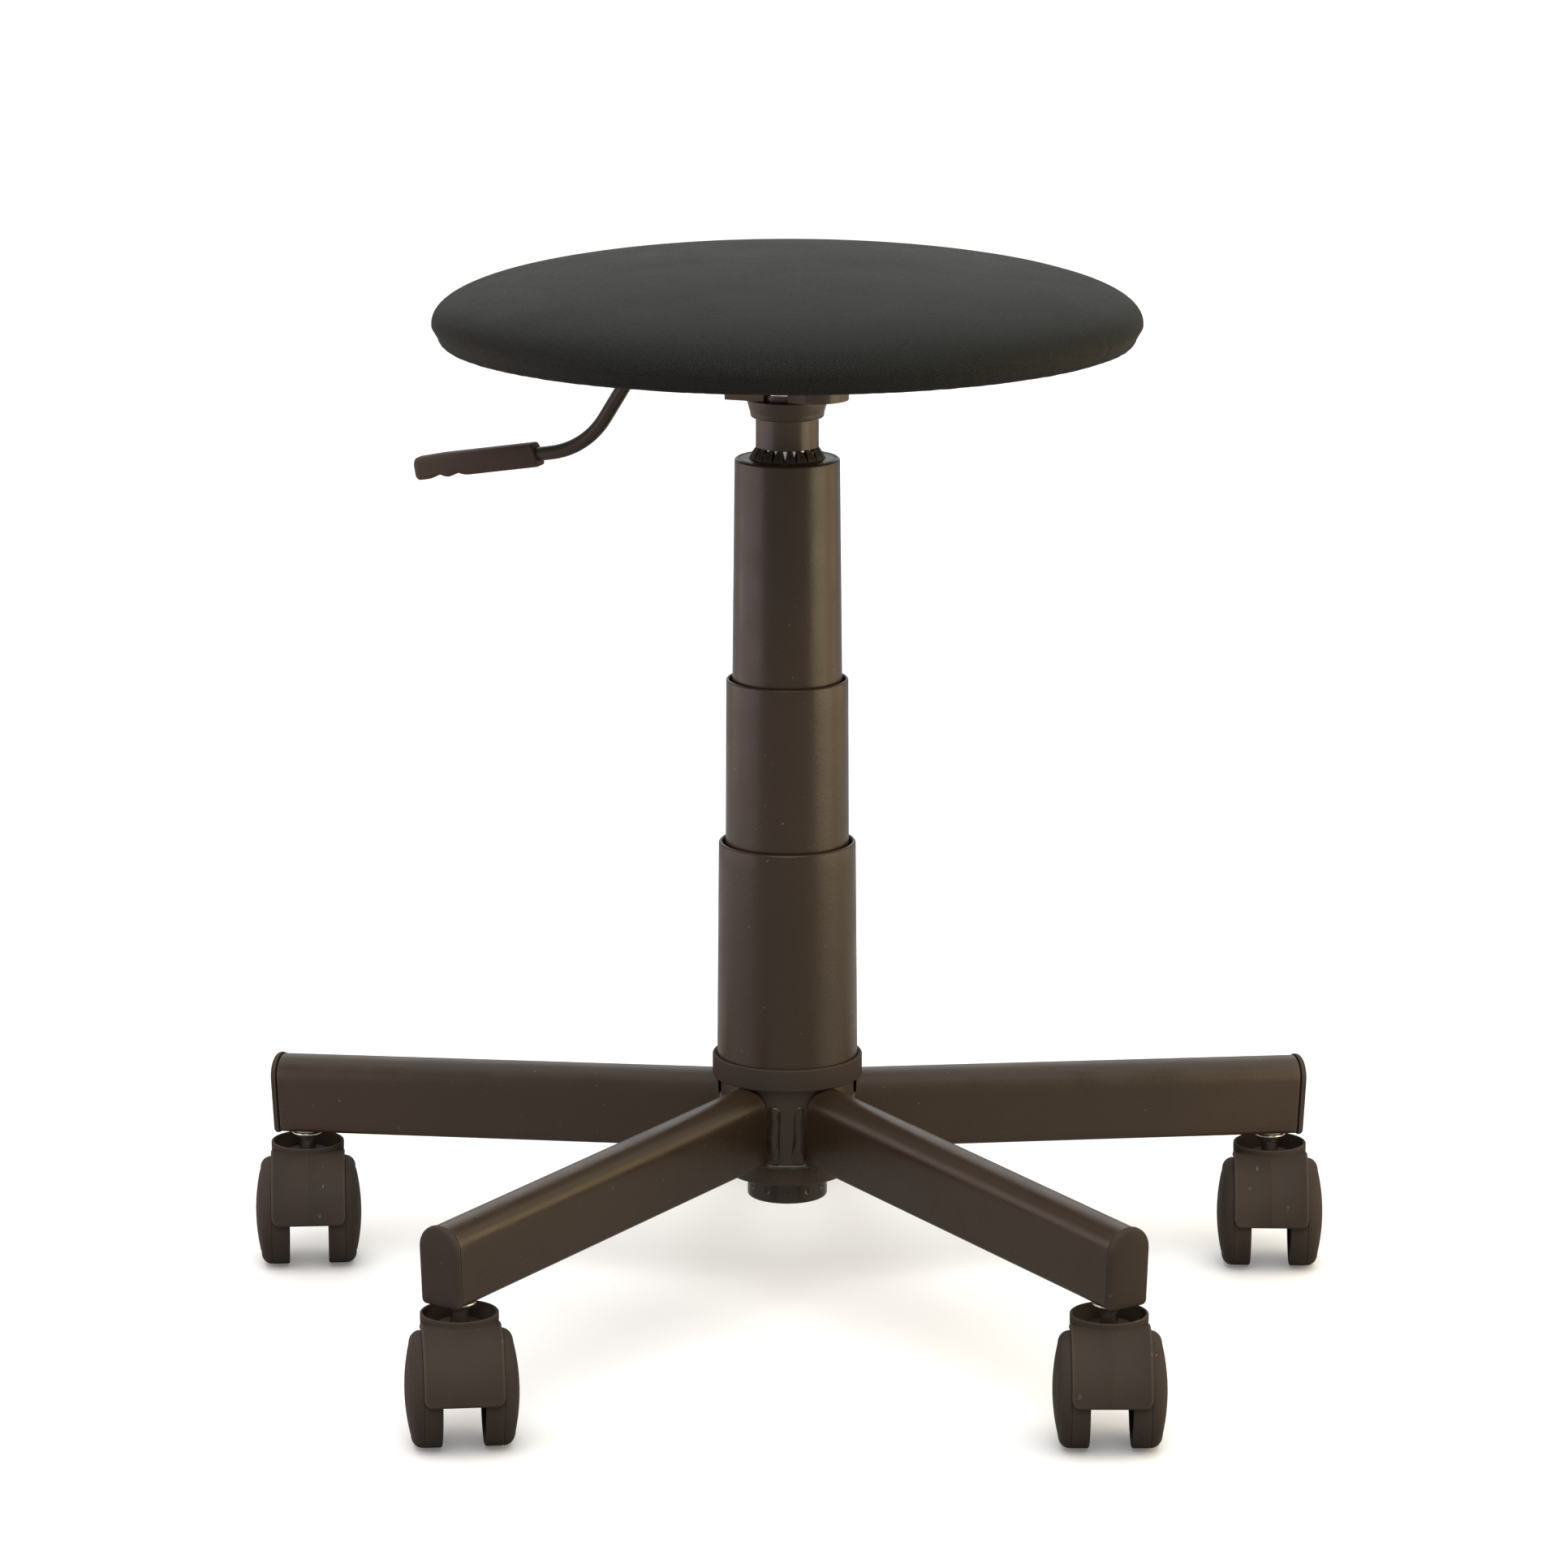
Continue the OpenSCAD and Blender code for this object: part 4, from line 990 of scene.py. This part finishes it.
KEPT = {
    "caster_sockets": STEEL, "column_tube": STEEL, "thrust_bearing": STEEL, "rubber_buffer": RUBBER,
    "retaining_clip": STEEL, "piston_rod": BRIGHT, "piston": STEEL, "guide_sleeve": DARK,
    "gas_cylinder": BRIGHT, "cylinder_seal": RUBBER, "release_button": STEEL, "seat_plate": PAINT,
    "seat_bolts": STEEL, "t_nuts": STEEL, "seat_board": PLY, "staples": BRIGHT, "lever_pin": STEEL,
}
KEPT.update({f"caster_axle_{i}": STEEL for i in ARMS})


def dress_cad():
    for name, material in KEPT.items():
        node = frame["nodes"][name]
        node.data.materials.clear()
        node.data.materials.append(material)


# ---- Studio ----

FLOOR_HALF, FLOOR_GLOW = 30, 0.15
FLOOR_BOUNCE = (0.42, 0.41, 0.40, 1)
SIDE_PANELS = (
    ("left_front", -0.95, -0.35, 0.27, 1.7, (1, 0.78, 0.87)),
    ("left_back", -0.95, 0.30, 0.27, 1.4, (1, 0.77, 0.68)),
    ("right_front", 0.95, -0.35, 0.27, 3.6, (1, 0.80, 0.49)),
    ("right_back", 0.95, 0.30, 0.27, 1.6, (1, 0.66, 0.27)),
    ("right_front_high", 0.95, -0.35, 0.85, 1.1, (1, 1, 0.58)),
    ("right_back_high", 0.95, 0.30, 0.85, 0.6, (0.97, 1, 0.71)),
)


def camera():
    data = bpy.data.cameras.new("camera")
    data.sensor_width = 36
    data.lens = 148.31
    data.shift_x, data.shift_y = -0.0021, -0.0019
    data.clip_end = 100
    made = bpy.data.objects.new("camera", data)
    made.location = (0, -2.81785, 0.8878)
    made.rotation_euler = (math.pi / 2 - 0.2250, 0, 0)
    bpy.context.scene.collection.objects.link(made)
    bpy.context.scene.camera = made


def light(name, kind, place, aim, energy, colour, **settings):
    data = bpy.data.lights.new(name, kind)
    data.energy, data.color = energy, colour
    for key, value in settings.items():
        setattr(data, key, value)
    made = bpy.data.objects.new(name, data)
    made.location = place
    made.visible_camera = False
    made.rotation_euler = (Vector(aim) - Vector(place)).to_track_quat("-Z", "Y").to_euler()
    bpy.context.scene.collection.objects.link(made)


def studio():
    """Pale floor under broad soft lights, with rosy panels at the left and warm ones at the right."""
    scene = bpy.context.scene
    scene.view_settings.view_transform = "Standard"
    world = bpy.data.worlds.new("studio")
    scene.world = world
    world.use_nodes = True
    tree = world.node_tree
    tree.nodes.clear()
    seen = tree.nodes.new("ShaderNodeBackground")
    fill = tree.nodes.new("ShaderNodeBackground")
    seen.inputs["Strength"].default_value = 1.0
    seen.inputs["Color"].default_value = (1, 1, 1, 1)
    fill.inputs["Strength"].default_value = 0.37
    fill.inputs["Color"].default_value = (1.0, 0.98, 0.95, 1)
    path, mixer = tree.nodes.new("ShaderNodeLightPath"), tree.nodes.new("ShaderNodeMixShader")
    out = tree.nodes.new("ShaderNodeOutputWorld")
    tree.links.new(path.outputs["Is Camera Ray"], mixer.inputs[0])
    tree.links.new(fill.outputs[0], mixer.inputs[1])
    tree.links.new(seen.outputs[0], mixer.inputs[2])
    tree.links.new(mixer.outputs[0], out.inputs["Surface"])

    side = {"shape": "RECTANGLE", "size": 0.7, "size_y": 0.5}
    panel = {"shape": "RECTANGLE", "size": 2.4, "size_y": 0.8}
    light("overhead", "SUN", (0, 0.5, 3), (0, 0, 0), 0.93, (1, 1, 1), angle=math.radians(70))
    light("front_fill", "SUN", (0, -2, 3), (0, 0, 0), 1.89, (1, 1, 1), angle=math.radians(50))
    light("back_low", "AREA", (0, 2.2, 1.0), (0, 0, 0.45), 4.1, (1, 1, 1), **panel)
    light("back_high", "AREA", (0, 2.2, 1.9), (0, 0, 0.45), 6.3, (1, 1, 1), **panel)
    for name, x, y, z, energy, colour in SIDE_PANELS:
        light(name, "AREA", (x, y, z), (0, y, z), energy, colour, **side)

    mesh = bpy.data.meshes.new("floor")
    corners = [(x * FLOOR_HALF, y * FLOOR_HALF, 0) for x, y in ((-1, -1), (1, -1), (1, 1), (-1, 1))]
    mesh.from_pydata(corners, [], [(0, 1, 2, 3)])
    floor = bpy.data.objects.new("floor", mesh)
    scene.collection.objects.link(floor)
    look = Look("pale_floor", Specular_IOR_Level=0.1)
    tone = look.noise(0.8, 2)
    pale = look.mix(tone, (0.91, 0.91, 0.905, 1), (0.94, 0.94, 0.935, 1))
    seen = look.add("ShaderNodeLightPath").outputs["Is Camera Ray"]
    look.tree.links.new(look.mix(seen, (0, 0, 0, 1), pale), look.shader.inputs["Emission Color"])
    look.shader.inputs["Emission Strength"].default_value = FLOOR_GLOW
    colour = look.mix(seen, FLOOR_BOUNCE, pale)
    mesh.materials.append(look.done(colour, look.span(tone, 0.3, 0.7, 0.8, 0.9)))


camera()
studio()
dress_cad()
for number in ARMS:
    arm(number)
    caster_hood(number)
    wheels(number)
end_caps()
hub()
weld_beads()
caster_stems()
column_parts()
finger_crown()
cylinder_parts()
rod, grip_root, grip_way = rod_line()
lever_rod(rod)
lever_grip(grip_root, grip_way)
seat_cover(tension_field())
foam_pad()
dust_cloth()
